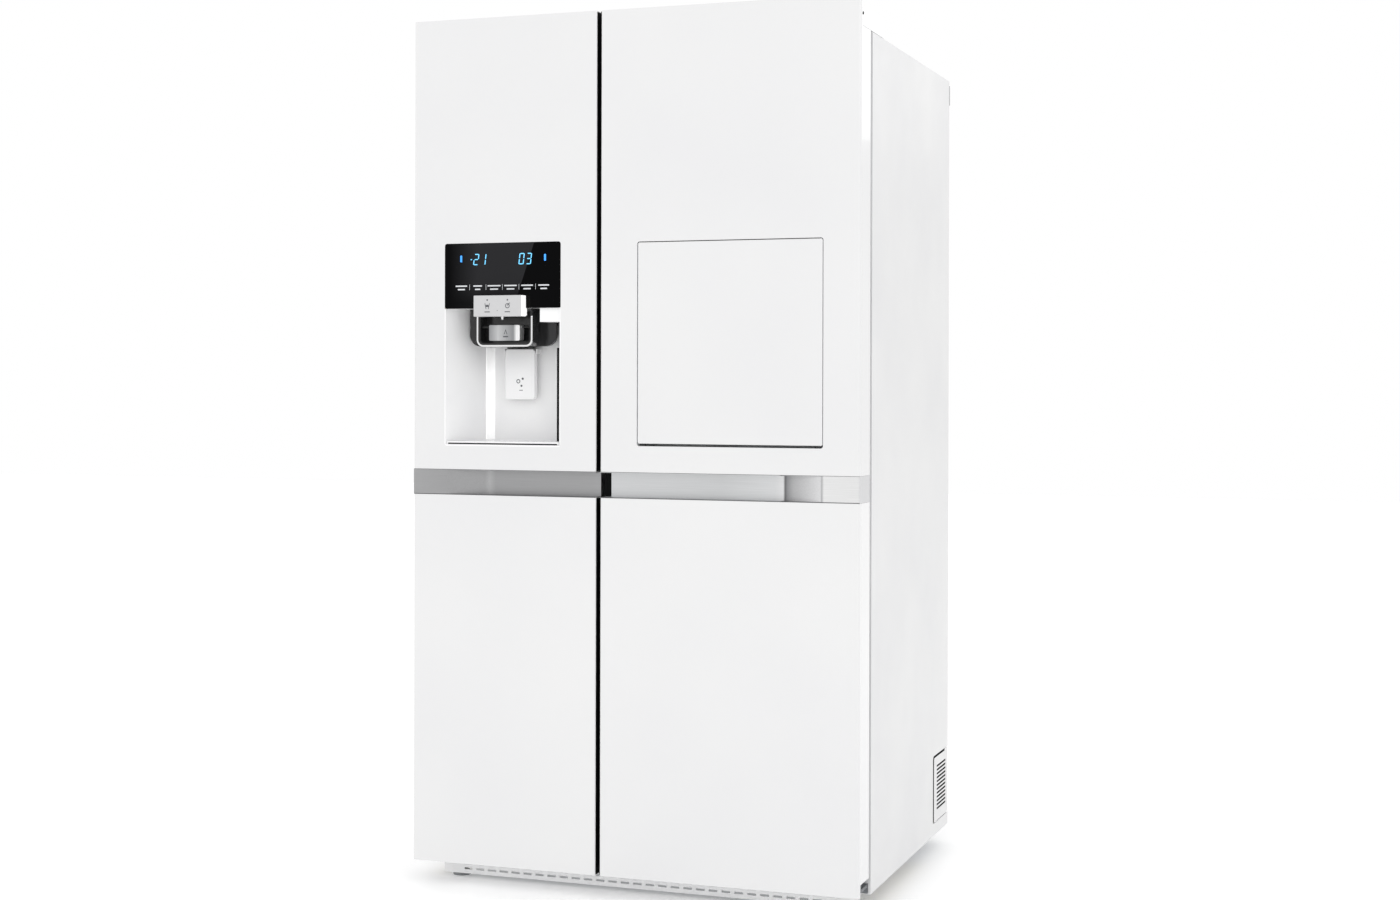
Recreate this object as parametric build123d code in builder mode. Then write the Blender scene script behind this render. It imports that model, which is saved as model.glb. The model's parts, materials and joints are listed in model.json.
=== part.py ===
from build123d import *
import os

# Side by side refrigerator. X to the right, Y to the rear, Z up, origin on the floor under the middle.
# Millimetres. Distances named "from the outer edge" run inwards from a door's hinge side.

os.makedirs("parts", exist_ok=True)

# cabinet
overall_width = 912.0
cabinet_depth = 654.0
cabinet_height = 1613.0
foot_height = 38.0
sheet = 1.0
corner_radius = 5.0
return_width = 22.0
flange = 2.0
side_wall = 50.0
rear_wall = 60.0
floor_wall = 60.0
ceiling_wall = 55.0
mullion_wall = 60.0
mullion_strip_width = 48.0
liner_wall = 2.0
trim_gap = 0.3
base_rail = 22.0
rear_inset = 4.0
spacer_depth = 6.0
spacer_height = 42.0
spacer_width = 30.0
spacer_drop = 12.0

# machine compartment at the lower rear
machine_height = 200.0
machine_depth = 225.0
step_wall = 60.0

# base frame, kick plate and machine cover
front_rail_depth = 46.0
side_rail_width = 50.0
foot_setback = 26.0
roller_inset = 70.0
roller_setback = 42.0
ear_thickness = 4.0
ear_length = 26.0
kick_inset = 26.0
kick_setback = 4.0
kick_thickness = 3.0
kick_clearance = 7.0
kick_slot_pitch = 26.0
kick_slot_width = 18.0
kick_slot_height = 4.0
kick_slot_levels = (17.0, 27.0)
machine_cover_thickness = 2.0
louvre_columns = 3
louvre_rows = 9
louvre_pitch = 14.0
louvre_width = 190.0
louvre_column_pitch = 260.0
louvre_height = 5.0
louvre_level = 50.0

# mains inlet gland and water stub
inlet_x = -320.0
stub_x = 330.0
inlet_level = 26.0
gland_radius = 12.0
stub_radius = 10.0
inlet_bore = 5.0

# side vent
vent_width = 140.0
vent_height = 143.0
vent_level = 15.0
vent_corner = 9.0
vent_clearance = 1.2
vent_margin = 20.0
vent_slot_pitch = 8.2
vent_slot_width = 84.0
vent_slot_height = 4.4

# refrigeration pieces
compressor_radius = 72.0
compressor_height = 110.0
compressor_round = 34.0
compressor_place = (150.0, 115.0)
mount_length = 170.0
mount_depth = 128.0
mount_plate = 3.0
grommet_radius = 10.0
grommet_height = 18.0
coil_rows = 7
coil_pitch = 22.0
coil_x = (40.0, 250.0)
coil_setback = 40.0
coil_tube = 2.4
coil_bend = 10.0
coil_level = 60.0
fin_pitch = 8.0
fin_thickness = 0.8
fin_height = 40.0
fin_overhang = 10.0
fan_place = (190.0, 110.0, 100.0)
fan_hub_radius = 17.0
fan_hub_length = 28.0
fan_blades = 7
blade_reach = 63.0
blade_width = 20.0
blade_thickness = 3.0
evaporator_tube = 4.0
evaporator_rows = 6
evaporator_row_pitch = 34.0
evaporator_fin_pitch = 14.0
evaporator_fin = 1.0
evaporator_height = 210.0
evaporator_lift = 40.0
evaporator_side_gap = 30.0

# doors
door_thickness = 68.0
door_standoff = 14.0
door_lift = 10.0
door_rise = 54.0
freezer_door_width = 389.5
door_split = 8.5
door_corner = 4.0
cap_thickness = 12.0
liner_plate = 2.5
hinge_inset = 14.0
hinge_setback = 32.0
pin_radius = 6.0
pin_clearance = 0.05
pin_length = 25.0
lower_pin = 20.0
notch_length = 95.0
notch_lip = 8.0
notch_clearance = 2.0
lower_notch_length = 70.0
lower_notch_height = 24.0
bush_radius = 11.0
bush_floor = 2.5
hinge_plate = 4.0
hinge_arm = 9.0
hinge_plate_width = 66.0
hinge_plate_reach = 80.0
hinge_screw_inset = 46.0
hinge_screws = (20.0, 60.0)
screw_radius = 3.0
screw_head_radius = 6.0
screw_head = 3.0
lower_arm = 6.0
lower_arm_width = 40.0
cover_height = 38.0
cover_wall = 2.5
cover_reach = 95.0
cover_overhang = 20.0
cover_inset = 2.0
cover_width = 85.0
cover_front_corner = 12.0
cover_rear_corner = 8.0
gasket_width = 16.0
gasket_hinge_inset = 30.0
gasket_free_inset = 6.0
gasket_edge = 4.0

# grips
grip_height = 50.0
grip_level = 724.0
grip_depth = 26.0
grip_flush = 72.0
grip_ramp = 80.0
grip_wall = 5.0
grip_lip = 1.2

# dispenser, in the freezer door
dispenser_inset = 67.0
dispenser_width = 248.0
dispenser_level = 820.0
recess_height = 269.0
panel_height = 128.0
panel_thickness = 3.0
recess_depth = 106.0
recess_back_width = 151.0
recess_rim = 2.0
recess_corner = 16.0
housing_wall = 3.0
opening_corner = 5.0
block_width = 103.0
block_height = 41.0
block_overlap = 24.5
block_proud = 22.0
block_edge = 2.5
hood_drop = 73.0
hood_setback = 50.0
hood_wing = 8.0
hood_clearance = 3.5
hood_corner = 22.0
chute_width = 116.5
chute_setback = 14.0
chute_recess = 28.0
chute_wall = 5.0
chute_corner = 12.5
ring_lip = 1.5
ring_wall = 3.2
ring_thickness = 3.0
duct_width = 90.0
paddle_width = 66.0
paddle_height = 31.0
paddle_thickness = 20.0
paddle_above = 4.0
paddle_proud = 4.0
paddle_floor = 10.0
paddle_edge = 3.0
shaft_radius = 2.0
shaft_end_gap = 0.5
flap_lift = 51.0
ice_flap_thickness = 3.0
lug_gap = 19.0
lug_height = 27.0
lug_setback = 4.0
pad_width = 64.0
pad_height = 100.0
pad_thickness = 13.0
pad_drop = 78.0
pad_gap = 10.0
pad_corner = 6.0
pad_lug = 3.0
pad_lug_gap = 1.5
tray_height = 6.0
tray_slots = 9
tray_slot_pitch = 16.0
tray_slot_width = 9.0
tray_side_gap = 1.5
tray_rear_gap = 18.0

# home bar, in the fridge door
homebar_inset = 71.0
homebar_width = 368.0
homebar_level = 824.0
homebar_height = 389.0
flap_gap = 1.5
flap_bottom_gap = 5.0
flap_skin = 3.0
flap_side = 18.0
flap_thickness = 44.0
flap_pin_radius = 3.0
flap_axis_setback = 8.0
flap_axis_rise = 10.0
flap_corner = 3.0
flap_edge = 1.5
flap_tray_depth = 8.0
flap_tray_rim = 24.0
case_wall = 5.0
case_depth = 168.0
case_back = 3.0
case_ledge = 14.0
case_shelf_level = 214.0
case_shelf = 4.0
case_shelf_setback = 12.0
seal_thickness = 6.0
seal_width = 9.0
seal_gap = 1.0

# interior
shelf_glass = 4.0
shelf_front = 98.0
shelf_pitch = 190.0
shelf_clearance = 1.0
shelf_headroom = 190.0
rail_width = 8.0
rail_end = 10.0
duct_depth = 60.0
duct_wall = 3.0
duct_gap = 0.5
fridge_duct_width = 150.0
air_slot_width = 30.0
air_slot_height = 10.0
air_slot_pitch = 40.0
drawer_height = 150.0
drawer_front = 6.0
drawer_grip_depth = 12.0
drawer_grip = 4.0
drawer_side_drop = 14.0
drawer_front_drop = 4.0
drawer_clearance = 6.0
drawer_wall = 2.5
bin_wall = 2.5
bin_height = 92.0
bin_depth = 84.0
bin_pitch = 190.0
rib_depth = 45.0
rib_wall = 8.0
rib_inset = 58.0
rib_free_inset = 51.5
rib_end = 12.0
bin_headroom = 30.0
low_bin_lift = 24.0
first_bin_lift = 40.0
ice_maker_inset = 20.0
ice_maker_height = 60.0
ice_maker_lift = 90.0
ice_cups = 6
ice_cup_width = 30.0
bucket_inset = 14.0
bucket_wall = 3.0
bucket_lift = 70.0
lamp_width = 120.0
lamp_depth = 60.0
lamp_height = 9.0
lamp_setback = 20.0
lamp_corner = 4.0

# feet and rollers
foot_radius = 18.0
foot_base = 9.0
foot_chamfer = 3.0
foot_stem = 5.0
foot_inset = 55.0
roller_radius = 18.0
roller_width = 20.0
roller_edge = 2.0
axle_radius = 4.0

# derived places
x_out = overall_width / 2
y_low = -(block_proud + door_thickness + door_standoff + cabinet_depth + spacer_depth) / 2
y_front = y_low + block_proud
y_door = y_front + door_thickness
y_cabinet = y_door + door_standoff
y_back = y_cabinet + cabinet_depth
z_shell = foot_height
z_top = z_shell + cabinet_height
z_door = z_shell + door_lift
z_door_top = z_top + door_rise
fridge_door_width = overall_width - freezer_door_width - door_split
x_split = -x_out + freezer_door_width + door_split / 2
freezer_x = (-x_out + side_wall, x_split - mullion_wall / 2)
fridge_x = (x_split + mullion_wall / 2, x_out - side_wall)
z_low = z_shell + floor_wall
z_ceiling = z_top - ceiling_wall
y_inner = y_back - rear_wall
y_machine = y_back - machine_depth
z_machine = z_shell + machine_height
y_step = y_machine - step_wall
z_step = z_machine + step_wall
z_notch = z_top - notch_clearance
z_lower_notch = z_door + lower_notch_height
y_lip = y_front + notch_lip
y_axis = y_front + hinge_setback
z_grip = z_door + grip_level
channel_z = (z_grip, z_grip + grip_height)
z_dispenser = z_door + dispenser_level
z_panel = z_dispenser + recess_height
z_panel_top = z_panel + panel_height
dispenser_middle = -x_out + dispenser_inset + dispenser_width / 2
dispenser_x = (dispenser_middle - dispenser_width / 2, dispenser_middle + dispenser_width / 2)
y_recess = y_front + recess_depth
mouth = dispenser_width / 2 - recess_rim
throat = recess_back_width / 2
z_hood = z_panel - hood_drop
homebar_x = (x_out - homebar_inset - homebar_width, x_out - homebar_inset)
z_homebar = z_door + homebar_level
z_homebar_top = z_homebar + homebar_height
y_flap_axis = y_front + flap_axis_setback
z_flap_axis = z_homebar + flap_bottom_gap + flap_axis_rise
y_shelf = y_cabinet + shelf_front
y_duct = y_inner - liner_wall - duct_depth
z_drawers = z_low + liner_wall + drawer_clearance
drawer_levels = (z_drawers, z_drawers + drawer_height + drawer_clearance)
z_shelves = drawer_levels[1] + drawer_height + drawer_clearance


def around(middle, size):
    return (middle - size / 2, middle + size / 2)


def grow(limits, amount):
    return (limits[0] - amount, limits[1] + amount)


def inward(side, near, far):
    """X limits of a stretch measured from a door's outer edge; side is -1 left, 1 right."""
    return tuple(sorted((side * (x_out - near), side * (x_out - far))))


def levels(low, high, pitch):
    """Evenly pitched heights that fit between two limits."""
    return [low + pitch * step for step in range(int((high - low) // pitch) + 1)]


def block(x, y, z, mode=Mode.ADD):
    with Locations(((x[0] + x[1]) / 2, (y[0] + y[1]) / 2, (z[0] + z[1]) / 2)):
        Box(x[1] - x[0], y[1] - y[0], z[1] - z[0], mode=mode)


def peg(x, y, z, radius, mode=Mode.ADD):
    """An upright round peg or hole."""
    with Locations((x, y, (z[0] + z[1]) / 2)):
        Cylinder(radius, z[1] - z[0], mode=mode)


def shaft(x, y, z, radius, mode=Mode.ADD):
    """A round shaft or bore along X."""
    with Locations(((x[0] + x[1]) / 2, y, z)):
        Cylinder(radius, x[1] - x[0], rotation=(0, 90, 0), mode=mode)


def prism(points, z, mode=Mode.ADD):
    """A plan outline raised between two heights."""
    with BuildSketch(Plane.XY.offset(z[0])) as plan:
        with BuildLine():
            Polyline(*points, close=True)
        make_face()
    extrude(plan.sketch, amount=z[1] - z[0], mode=mode)


def door_plan(side, width, inset, z, y_rear, mode=Mode.ADD):
    """A door's plan outline with rounded front corners, shrunk by inset and raised."""
    x = inward(side, inset, width - inset)
    y = (y_front + inset, y_rear)
    with BuildSketch(Plane.XY.offset(z[0])) as plan:
        with Locations(((x[0] + x[1]) / 2, (y[0] + y[1]) / 2)):
            Rectangle(x[1] - x[0], y[1] - y[0])
        fillet(plan.vertices().group_by(Axis.Y)[0], door_corner - inset)
    extrude(plan.sketch, amount=z[1] - z[0], mode=mode)


def window(x, z, y, radius, mode=Mode.SUBTRACT):
    """A rounded rectangle seen from the front, run through from y[0] to y[1]."""
    with BuildSketch(Plane.XZ.offset(-y[1])) as face:
        with Locations(((x[0] + x[1]) / 2, (z[0] + z[1]) / 2)):
            RectangleRounded(x[1] - x[0], z[1] - z[0], radius)
    extrude(face.sketch, amount=y[1] - y[0], mode=mode)


def cup(x, z, y, radius, mode=Mode.ADD):
    """A front outline rounded at its two lower corners, run from y[0] to y[1]."""
    with BuildSketch(Plane.XZ.offset(-y[1])) as face:
        with Locations(((x[0] + x[1]) / 2, (z[0] + z[1]) / 2)):
            Rectangle(x[1] - x[0], z[1] - z[0])
        fillet(face.vertices().group_by(Axis.Y)[0], radius)
    extrude(face.sketch, amount=y[1] - y[0], mode=mode)


def side_window(y, z, x, radius, mode=Mode.SUBTRACT):
    """A rounded rectangle seen from the side, run through from x[0] to x[1]."""
    with BuildSketch(Plane.YZ.offset(x[0])) as face:
        with Locations(((y[0] + y[1]) / 2, (z[0] + z[1]) / 2)):
            RectangleRounded(y[1] - y[0], z[1] - z[0], radius)
    extrude(face.sketch, amount=x[1] - x[0], mode=mode)


def cabinet_arch(inset, y, z_bottom, mode=Mode.ADD):
    """The cabinet's front outline, rounded at the top, between two depths."""
    with BuildSketch(Plane.XZ.offset(-y[1])) as face:
        with Locations((0, (z_bottom + z_top - inset) / 2)):
            Rectangle(overall_width - 2 * inset, z_top - inset - z_bottom)
        fillet(face.vertices().group_by(Axis.Y)[-1], corner_radius - inset)
    extrude(face.sketch, amount=y[1] - y[0], mode=mode)


def compartment(x, wall, mode=Mode.ADD):
    """A food compartment with a step over the machine compartment, shrunk by wall, open in front."""
    with BuildSketch(Plane.YZ.offset(x[0] + wall)) as outline:
        with BuildLine():
            Polyline(
                (y_cabinet, z_low + wall),
                (y_step - wall, z_low + wall),
                (y_step - wall, z_step + wall),
                (y_inner - wall, z_step + wall),
                (y_inner - wall, z_ceiling - wall),
                (y_cabinet, z_ceiling - wall),
                close=True,
            )
        make_face()
    extrude(outline.sketch, amount=x[1] - x[0] - 2 * wall, mode=mode)


def recess_half(depth):
    """Half the dispenser recess's width at a depth behind the door's front."""
    return mouth - (mouth - throat) * depth / recess_depth


def save(part, name):
    part.label = name
    export_step(part, f"parts/{name}.step")
    print(f"{name}: {len(part.solids())} solids")


# cabinet shell: side and top sheet in one wrap, folded in at the front, cut for the side vent
vent_y = (y_back - vent_width, y_back)
vent_z = (z_door + vent_level, z_door + vent_level + vent_height)
with BuildPart() as cabinet_shell:
    cabinet_arch(0, (y_cabinet, y_back), z_shell)
    cabinet_arch(sheet, (y_cabinet + sheet, y_back + 1), z_shell - 1, Mode.SUBTRACT)
    inner = x_out - return_width
    mouth_z = (z_shell - 1, z_top - return_width)
    block((-inner, inner), (y_cabinet - 1, y_cabinet + flange), mouth_z, Mode.SUBTRACT)
    vent_cut = (vent_y[0], vent_y[1] + 2 * vent_corner)
    side_window(vent_cut, vent_z, (x_out - 2 * sheet, x_out + 1), vent_corner)
save(cabinet_shell.part, "cabinet_shell")

# insulation, foamed between the shell and the liners
z_base_top = z_shell + base_rail
with BuildPart() as cabinet_foam:
    cabinet_arch(sheet, (y_cabinet + flange, y_back - rear_inset), z_base_top)
    compartment(freezer_x, 0, Mode.SUBTRACT)
    compartment(fridge_x, 0, Mode.SUBTRACT)
    block((-x_out, x_out), (y_machine, y_back), (z_shell, z_machine), Mode.SUBTRACT)
save(cabinet_foam.part, "cabinet_foam")


def liner(x, flange_x, shelf_heights):
    """A moulded liner: stepped box, front flange and the rails that the shelves lie on."""
    with BuildPart() as shell:
        compartment(x, 0)
        flange_z = (z_base_top, z_top - return_width - trim_gap)
        block(flange_x, (y_cabinet, y_cabinet + flange), flange_z)
        compartment(x, liner_wall, Mode.SUBTRACT)
        inside = grow(x, -liner_wall)
        rails = ((inside[0], inside[0] + rail_width), (inside[1] - rail_width, inside[1]))
        for height in shelf_heights:
            for rail_x in rails:
                block(rail_x, (y_shelf + rail_end, y_duct - rail_end), (height - rail_width, height))
    return shell.part


strip_x = around(x_split, mullion_strip_width)
flange_out = x_out - return_width - trim_gap
shelf_heights = levels(z_shelves, z_ceiling - shelf_headroom, shelf_pitch)
freezer_shelf_heights = shelf_heights[:-1]
freezer_liner = liner(freezer_x, (-flange_out, strip_x[0] - trim_gap), freezer_shelf_heights)
save(freezer_liner, "freezer_liner")
fridge_liner = liner(fridge_x, (strip_x[1] + trim_gap, flange_out), shelf_heights)
save(fridge_liner, "fridge_liner")

with BuildPart() as centre_mullion:
    block(strip_x, (y_cabinet, y_cabinet + flange), (z_base_top, z_top - return_width - trim_gap))
save(centre_mullion.part, "centre_mullion")

# rear panel with pressed cross beads
bead_height = 14.0
bead_depth = 2.0
bead_pitch = 220.0
with BuildPart() as rear_panel:
    panel_z = (z_machine, z_top - corner_radius)
    panel_y = (y_back - rear_inset, y_back - rear_inset + sheet)
    block(grow((-x_out, x_out), -sheet), panel_y, panel_z)
    for height in levels(z_machine + bead_pitch / 2, z_top - bead_pitch / 2, bead_pitch):
        bead_y = (panel_y[1], panel_y[1] + bead_depth)
        block(grow((-x_out, x_out), -side_wall), bead_y, around(height, bead_height))
save(rear_panel.part, "rear_panel")

# base frame with its rails, axle ears and tray
roller_x = x_out - roller_inset
roller_y = y_back - roller_setback
foot_y = y_cabinet + foot_setback
rail_x = x_out - return_width - trim_gap
with BuildPart() as base_frame:
    y_rail = y_cabinet + front_rail_depth
    block((-rail_x, rail_x), (y_cabinet, y_rail), (z_shell, z_base_top))
    block((-rail_x, rail_x), (y_rail, y_machine), (z_base_top - sheet, z_base_top))
    block(grow((-x_out, x_out), -sheet), (y_machine, y_back - 2 * rear_inset), (z_shell, z_shell + flange))
    for side in (-1, 1):
        foot_x = side * (x_out - foot_inset)
        peg(foot_x, foot_y, (z_shell, z_base_top), foot_stem + pin_clearance, Mode.SUBTRACT)
        block(around(side * roller_x, side_rail_width), (y_rail, y_machine), (z_shell, z_base_top))
        for ear in (-1, 1):
            ear_middle = side * roller_x + ear * (roller_width / 2 + ear_thickness - 1)
            ear_z = (roller_radius - 2 * axle_radius, z_shell)
            block(around(ear_middle, ear_thickness), around(roller_y, ear_length), ear_z)
        pin_x = around(side * roller_x, roller_width + 2 * ear_thickness + 2)
        shaft(pin_x, roller_y, roller_radius, axle_radius)
save(base_frame.part, "base_frame")

with BuildPart() as kick_plate:
    kick_x = x_out - kick_inset
    kick_y = (y_cabinet + kick_setback, y_cabinet + kick_setback + kick_thickness)
    block((-kick_x, kick_x), kick_y, (kick_clearance, z_shell))
    slot_count = int(2 * (kick_x - 2 * kick_slot_width) // kick_slot_pitch)
    for step in range(slot_count):
        slot_x = around((step - (slot_count - 1) / 2) * kick_slot_pitch, kick_slot_width)
        for height in kick_slot_levels:
            block(slot_x, grow(kick_y, 1), around(height, kick_slot_height), Mode.SUBTRACT)
save(kick_plate.part, "kick_plate")

with BuildPart() as machine_cover:
    cover_y = (y_back - rear_inset - machine_cover_thickness, y_back - rear_inset)
    cover_z = (z_shell + 2 * flange, z_machine - sheet)
    block(grow((-x_out, x_out), -sheet - flange), cover_y, cover_z)
    for column in range(louvre_columns):
        middle = (column - (louvre_columns - 1) / 2) * louvre_column_pitch
        for row in range(louvre_rows):
            height = z_shell + louvre_level + row * louvre_pitch
            slot = around(middle, louvre_width)
            block(slot, grow(cover_y, 1), around(height, louvre_height), Mode.SUBTRACT)
save(machine_cover.part, "machine_cover")

with BuildPart() as side_vent:
    plate_y = (vent_y[0] + vent_clearance, vent_y[1] - sheet)
    plate_z = grow(vent_z, -vent_clearance)
    side_window(plate_y, plate_z, (x_out - 3 * sheet, x_out - sheet / 2), vent_corner - 1, Mode.ADD)
    slot_count = int((vent_height - 2 * vent_margin) // vent_slot_pitch)
    slot_y = around((vent_y[0] + vent_y[1]) / 2 + vent_margin / 2, vent_slot_width)
    for row in range(slot_count):
        height = (vent_z[0] + vent_z[1]) / 2 + (row - (slot_count - 1) / 2) * vent_slot_pitch
        slot_x = (x_out - 4 * sheet, x_out + sheet)
        side_window(slot_y, around(height, vent_slot_height), slot_x, vent_slot_height / 2 - 0.1)
save(side_vent.part, "side_vent")

# refrigeration pieces
with BuildPart() as compressor:
    motor_x = -x_out + compressor_place[0]
    motor_y = y_machine + compressor_place[1]
    mount_z = z_shell + flange + grommet_height
    with Locations((motor_x, motor_y, mount_z + compressor_height / 2 - 1)):
        Cylinder(compressor_radius, compressor_height)
    fillet(compressor.edges().filter_by(GeomType.CIRCLE), compressor_round)
    for x in (-1, 1):
        for y in (-1, 1):
            grommet_x = motor_x + x * (mount_length / 2 - 1.5 * grommet_radius)
            grommet_y = motor_y + y * (mount_depth / 2 - grommet_radius)
            peg(grommet_x, grommet_y, (z_shell + flange, mount_z), grommet_radius)
    block(around(motor_x, mount_length), around(motor_y, mount_depth), (mount_z, mount_z + mount_plate))
save(compressor.part, "compressor")

with BuildPart() as condenser_coil:
    coil_z = z_shell + coil_level
    corners = []
    for row in range(coil_rows):
        y = y_machine + coil_setback + row * coil_pitch
        ends = coil_x if row % 2 == 0 else coil_x[::-1]
        corners += [(end, y, coil_z) for end in ends]
    with BuildLine() as run:
        FilletPolyline(*corners, radius=coil_bend)
    with BuildSketch(Plane(origin=corners[0], z_dir=(1, 0, 0))):
        Circle(coil_tube)
    sweep()
    fin_y = grow((corners[0][1], corners[-1][1]), fin_overhang)
    fins = int((coil_x[1] - coil_x[0] - 3 * coil_bend) // fin_pitch)
    for step in range(fins):
        x = sum(coil_x) / 2 + (step - (fins - 1) / 2) * fin_pitch
        block(around(x, fin_thickness), fin_y, around(coil_z, fin_height))
save(condenser_coil.part, "condenser_coil")

fan_x = x_out - fan_place[0]
fan_y = y_machine + fan_place[1]
fan_z = z_shell + fan_place[2]
with BuildPart() as condenser_fan:
    shaft(around(fan_x, fan_hub_length), fan_y, fan_z, fan_hub_radius)
    blade_length = blade_reach - fan_hub_radius + blade_thickness
    for step in range(fan_blades):
        angle = 360 / fan_blades * step
        blade_plane = Plane(origin=(fan_x - fan_hub_length / 4, fan_y, fan_z), z_dir=(1, 0, 0))
        with BuildSketch(blade_plane) as blade:
            with Locations(Rot(0, 0, angle) * Pos(blade_reach - blade_length / 2, 0)):
                Rectangle(blade_length, blade_width)
        extrude(blade.sketch, amount=blade_thickness)
save(condenser_fan.part, "condenser_fan")

# evaporator and air ducts
with BuildPart() as evaporator:
    stack_y = (y_duct + 4 * duct_wall, y_inner - liner_wall - 2 * duct_wall)
    stack_x = grow(freezer_x, -evaporator_side_gap)
    stack_z = (z_step + evaporator_lift, z_step + evaporator_lift + evaporator_height)
    for row in range(evaporator_rows):
        height = stack_z[0] + evaporator_row_pitch * (row + 0.6)
        shaft(stack_x, (stack_y[0] + stack_y[1]) / 2, height, evaporator_tube)
    for step in range(int((stack_x[1] - stack_x[0]) // evaporator_fin_pitch)):
        x = stack_x[0] + (step + 0.5) * evaporator_fin_pitch
        block(around(x, evaporator_fin), stack_y, stack_z)
save(evaporator.part, "evaporator")


def duct(x, y, z_bottom):
    """A shallow channel cover open to the rear, with air slots."""
    with BuildPart() as channel:
        top = z_ceiling - liner_wall - duct_gap
        block(x, y, (z_bottom, top))
        hollow_z = (z_bottom + duct_wall, top - duct_wall)
        block(grow(x, -duct_wall), (y[0] + duct_wall, y[1] + 1), hollow_z, Mode.SUBTRACT)
        for height in levels(z_shelves + shelf_pitch / 3, top - shelf_pitch / 3, shelf_pitch):
            for step in (-1, 0, 1):
                slot = around((x[0] + x[1]) / 2 + step * air_slot_pitch, air_slot_width)
                slot_y = (y[0] - 1, y[0] + duct_wall + 1)
                block(slot, slot_y, around(height, air_slot_height), Mode.SUBTRACT)
    return channel.part


back_y = (y_duct, y_inner - liner_wall)
duct_bottom = z_step + liner_wall
fridge_middle = (fridge_x[0] + fridge_x[1]) / 2
freezer_duct = duct(grow(freezer_x, -liner_wall - duct_gap), back_y, duct_bottom)
fridge_duct = duct(around(fridge_middle, fridge_duct_width), back_y, duct_bottom)
save(Part() + [freezer_duct, fridge_duct], "air_ducts")


with BuildPart() as glass_shelves:
    for x, heights in ((freezer_x, freezer_shelf_heights), (fridge_x, shelf_heights)):
        for height in heights:
            plate_x = grow(x, -liner_wall - shelf_clearance)
            block(plate_x, (y_shelf, y_duct - 2 * shelf_clearance), (height, height + shelf_glass))
save(glass_shelves.part, "glass_shelves")


# drawers, open boxes with a raised front
def drawer(x, level):
    with BuildPart() as box:
        width = grow(x, -liner_wall - drawer_clearance)
        depth = (y_shelf, y_step - liner_wall - drawer_clearance)
        top = level + drawer_height
        block(width, depth, (level, top - drawer_side_drop))
        hollow_z = (level + drawer_wall, top)
        block(grow(width, -drawer_wall), grow(depth, -drawer_wall), hollow_z, Mode.SUBTRACT)
        y_face = y_shelf - drawer_front
        block(width, (y_face, y_shelf), (level, top - drawer_front_drop))
        grip_x = around((x[0] + x[1]) / 2, (x[1] - x[0]) / 2)
        grip_top = top - 5 * drawer_grip
        block(grip_x, (y_face - drawer_grip_depth, y_face), (grip_top - drawer_grip, grip_top))
    return box.part


for x, stem in ((fridge_x, "crisper"), (freezer_x, "freezer_drawer")):
    save(drawer(x, drawer_levels[0]), stem + "_lower")
    save(drawer(x, drawer_levels[1]), stem + "_upper")

# ice maker above its bucket
z_maker = freezer_shelf_heights[-1] + shelf_pitch
with BuildPart() as ice_maker:
    maker_x = grow(freezer_x, -liner_wall - ice_maker_inset)
    maker_y = (y_shelf + 2 * ice_maker_inset, y_duct - 3 * ice_maker_inset)
    maker_z = (z_maker + ice_maker_lift, z_maker + ice_maker_lift + ice_maker_height)
    block(maker_x, maker_y, maker_z)
    cup_pitch = (maker_y[1] - maker_y[0] - 2 * ice_cup_width) / (ice_cups - 1)
    for step in range(ice_cups):
        cup_y = around(maker_y[0] + ice_cup_width + step * cup_pitch, ice_cup_width)
        cup_z = (maker_z[1] - ice_maker_height / 2, maker_z[1] + 1)
        block(grow(maker_x, -ice_maker_inset), cup_y, cup_z, Mode.SUBTRACT)
    bracket_x = (maker_x[0], maker_x[0] + 0.8 * ice_maker_inset)
    block(bracket_x, maker_y, (maker_z[1], z_ceiling - liner_wall))
save(ice_maker.part, "ice_maker")

with BuildPart() as ice_bucket:
    bucket_x = grow(freezer_x, -liner_wall - bucket_inset)
    bucket_y = (y_shelf, y_duct - bucket_inset)
    bucket_z = (freezer_shelf_heights[-1] + shelf_glass, z_maker + bucket_lift)
    block(bucket_x, bucket_y, bucket_z)
    hollow_z = (bucket_z[0] + bucket_wall, bucket_z[1] + 1)
    block(grow(bucket_x, -bucket_wall), grow(bucket_y, -bucket_wall), hollow_z, Mode.SUBTRACT)
save(ice_bucket.part, "ice_bucket")

with BuildPart() as interior_lamps:
    lamp_y = (y_cabinet + lamp_setback, y_cabinet + lamp_setback + lamp_depth)
    lamp_z = (z_ceiling - liner_wall - lamp_height, z_ceiling - liner_wall)
    for x in (freezer_x, fridge_x):
        block(around((x[0] + x[1]) / 2, lamp_width), lamp_y, lamp_z)
    fillet(interior_lamps.edges().group_by(Axis.Z)[0], lamp_corner)
save(interior_lamps.part, "interior_lamps")

with BuildPart() as wall_spacers:
    spacer_top = z_top - spacer_drop
    stud_y = (y_back - rear_inset + sheet, y_back)
    for side in (-1, 1):
        spacer_z = (spacer_top - spacer_height, spacer_top)
        block(inward(side, 0, spacer_width), (y_back, y_back + spacer_depth), spacer_z)
        stud_z = (spacer_z[0] + spacer_height / 3, spacer_z[1] - spacer_height / 3)
        block(inward(side, spacer_width / 3, 2 * spacer_width / 3), stud_y, stud_z)
save(wall_spacers.part, "wall_spacers")

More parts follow.
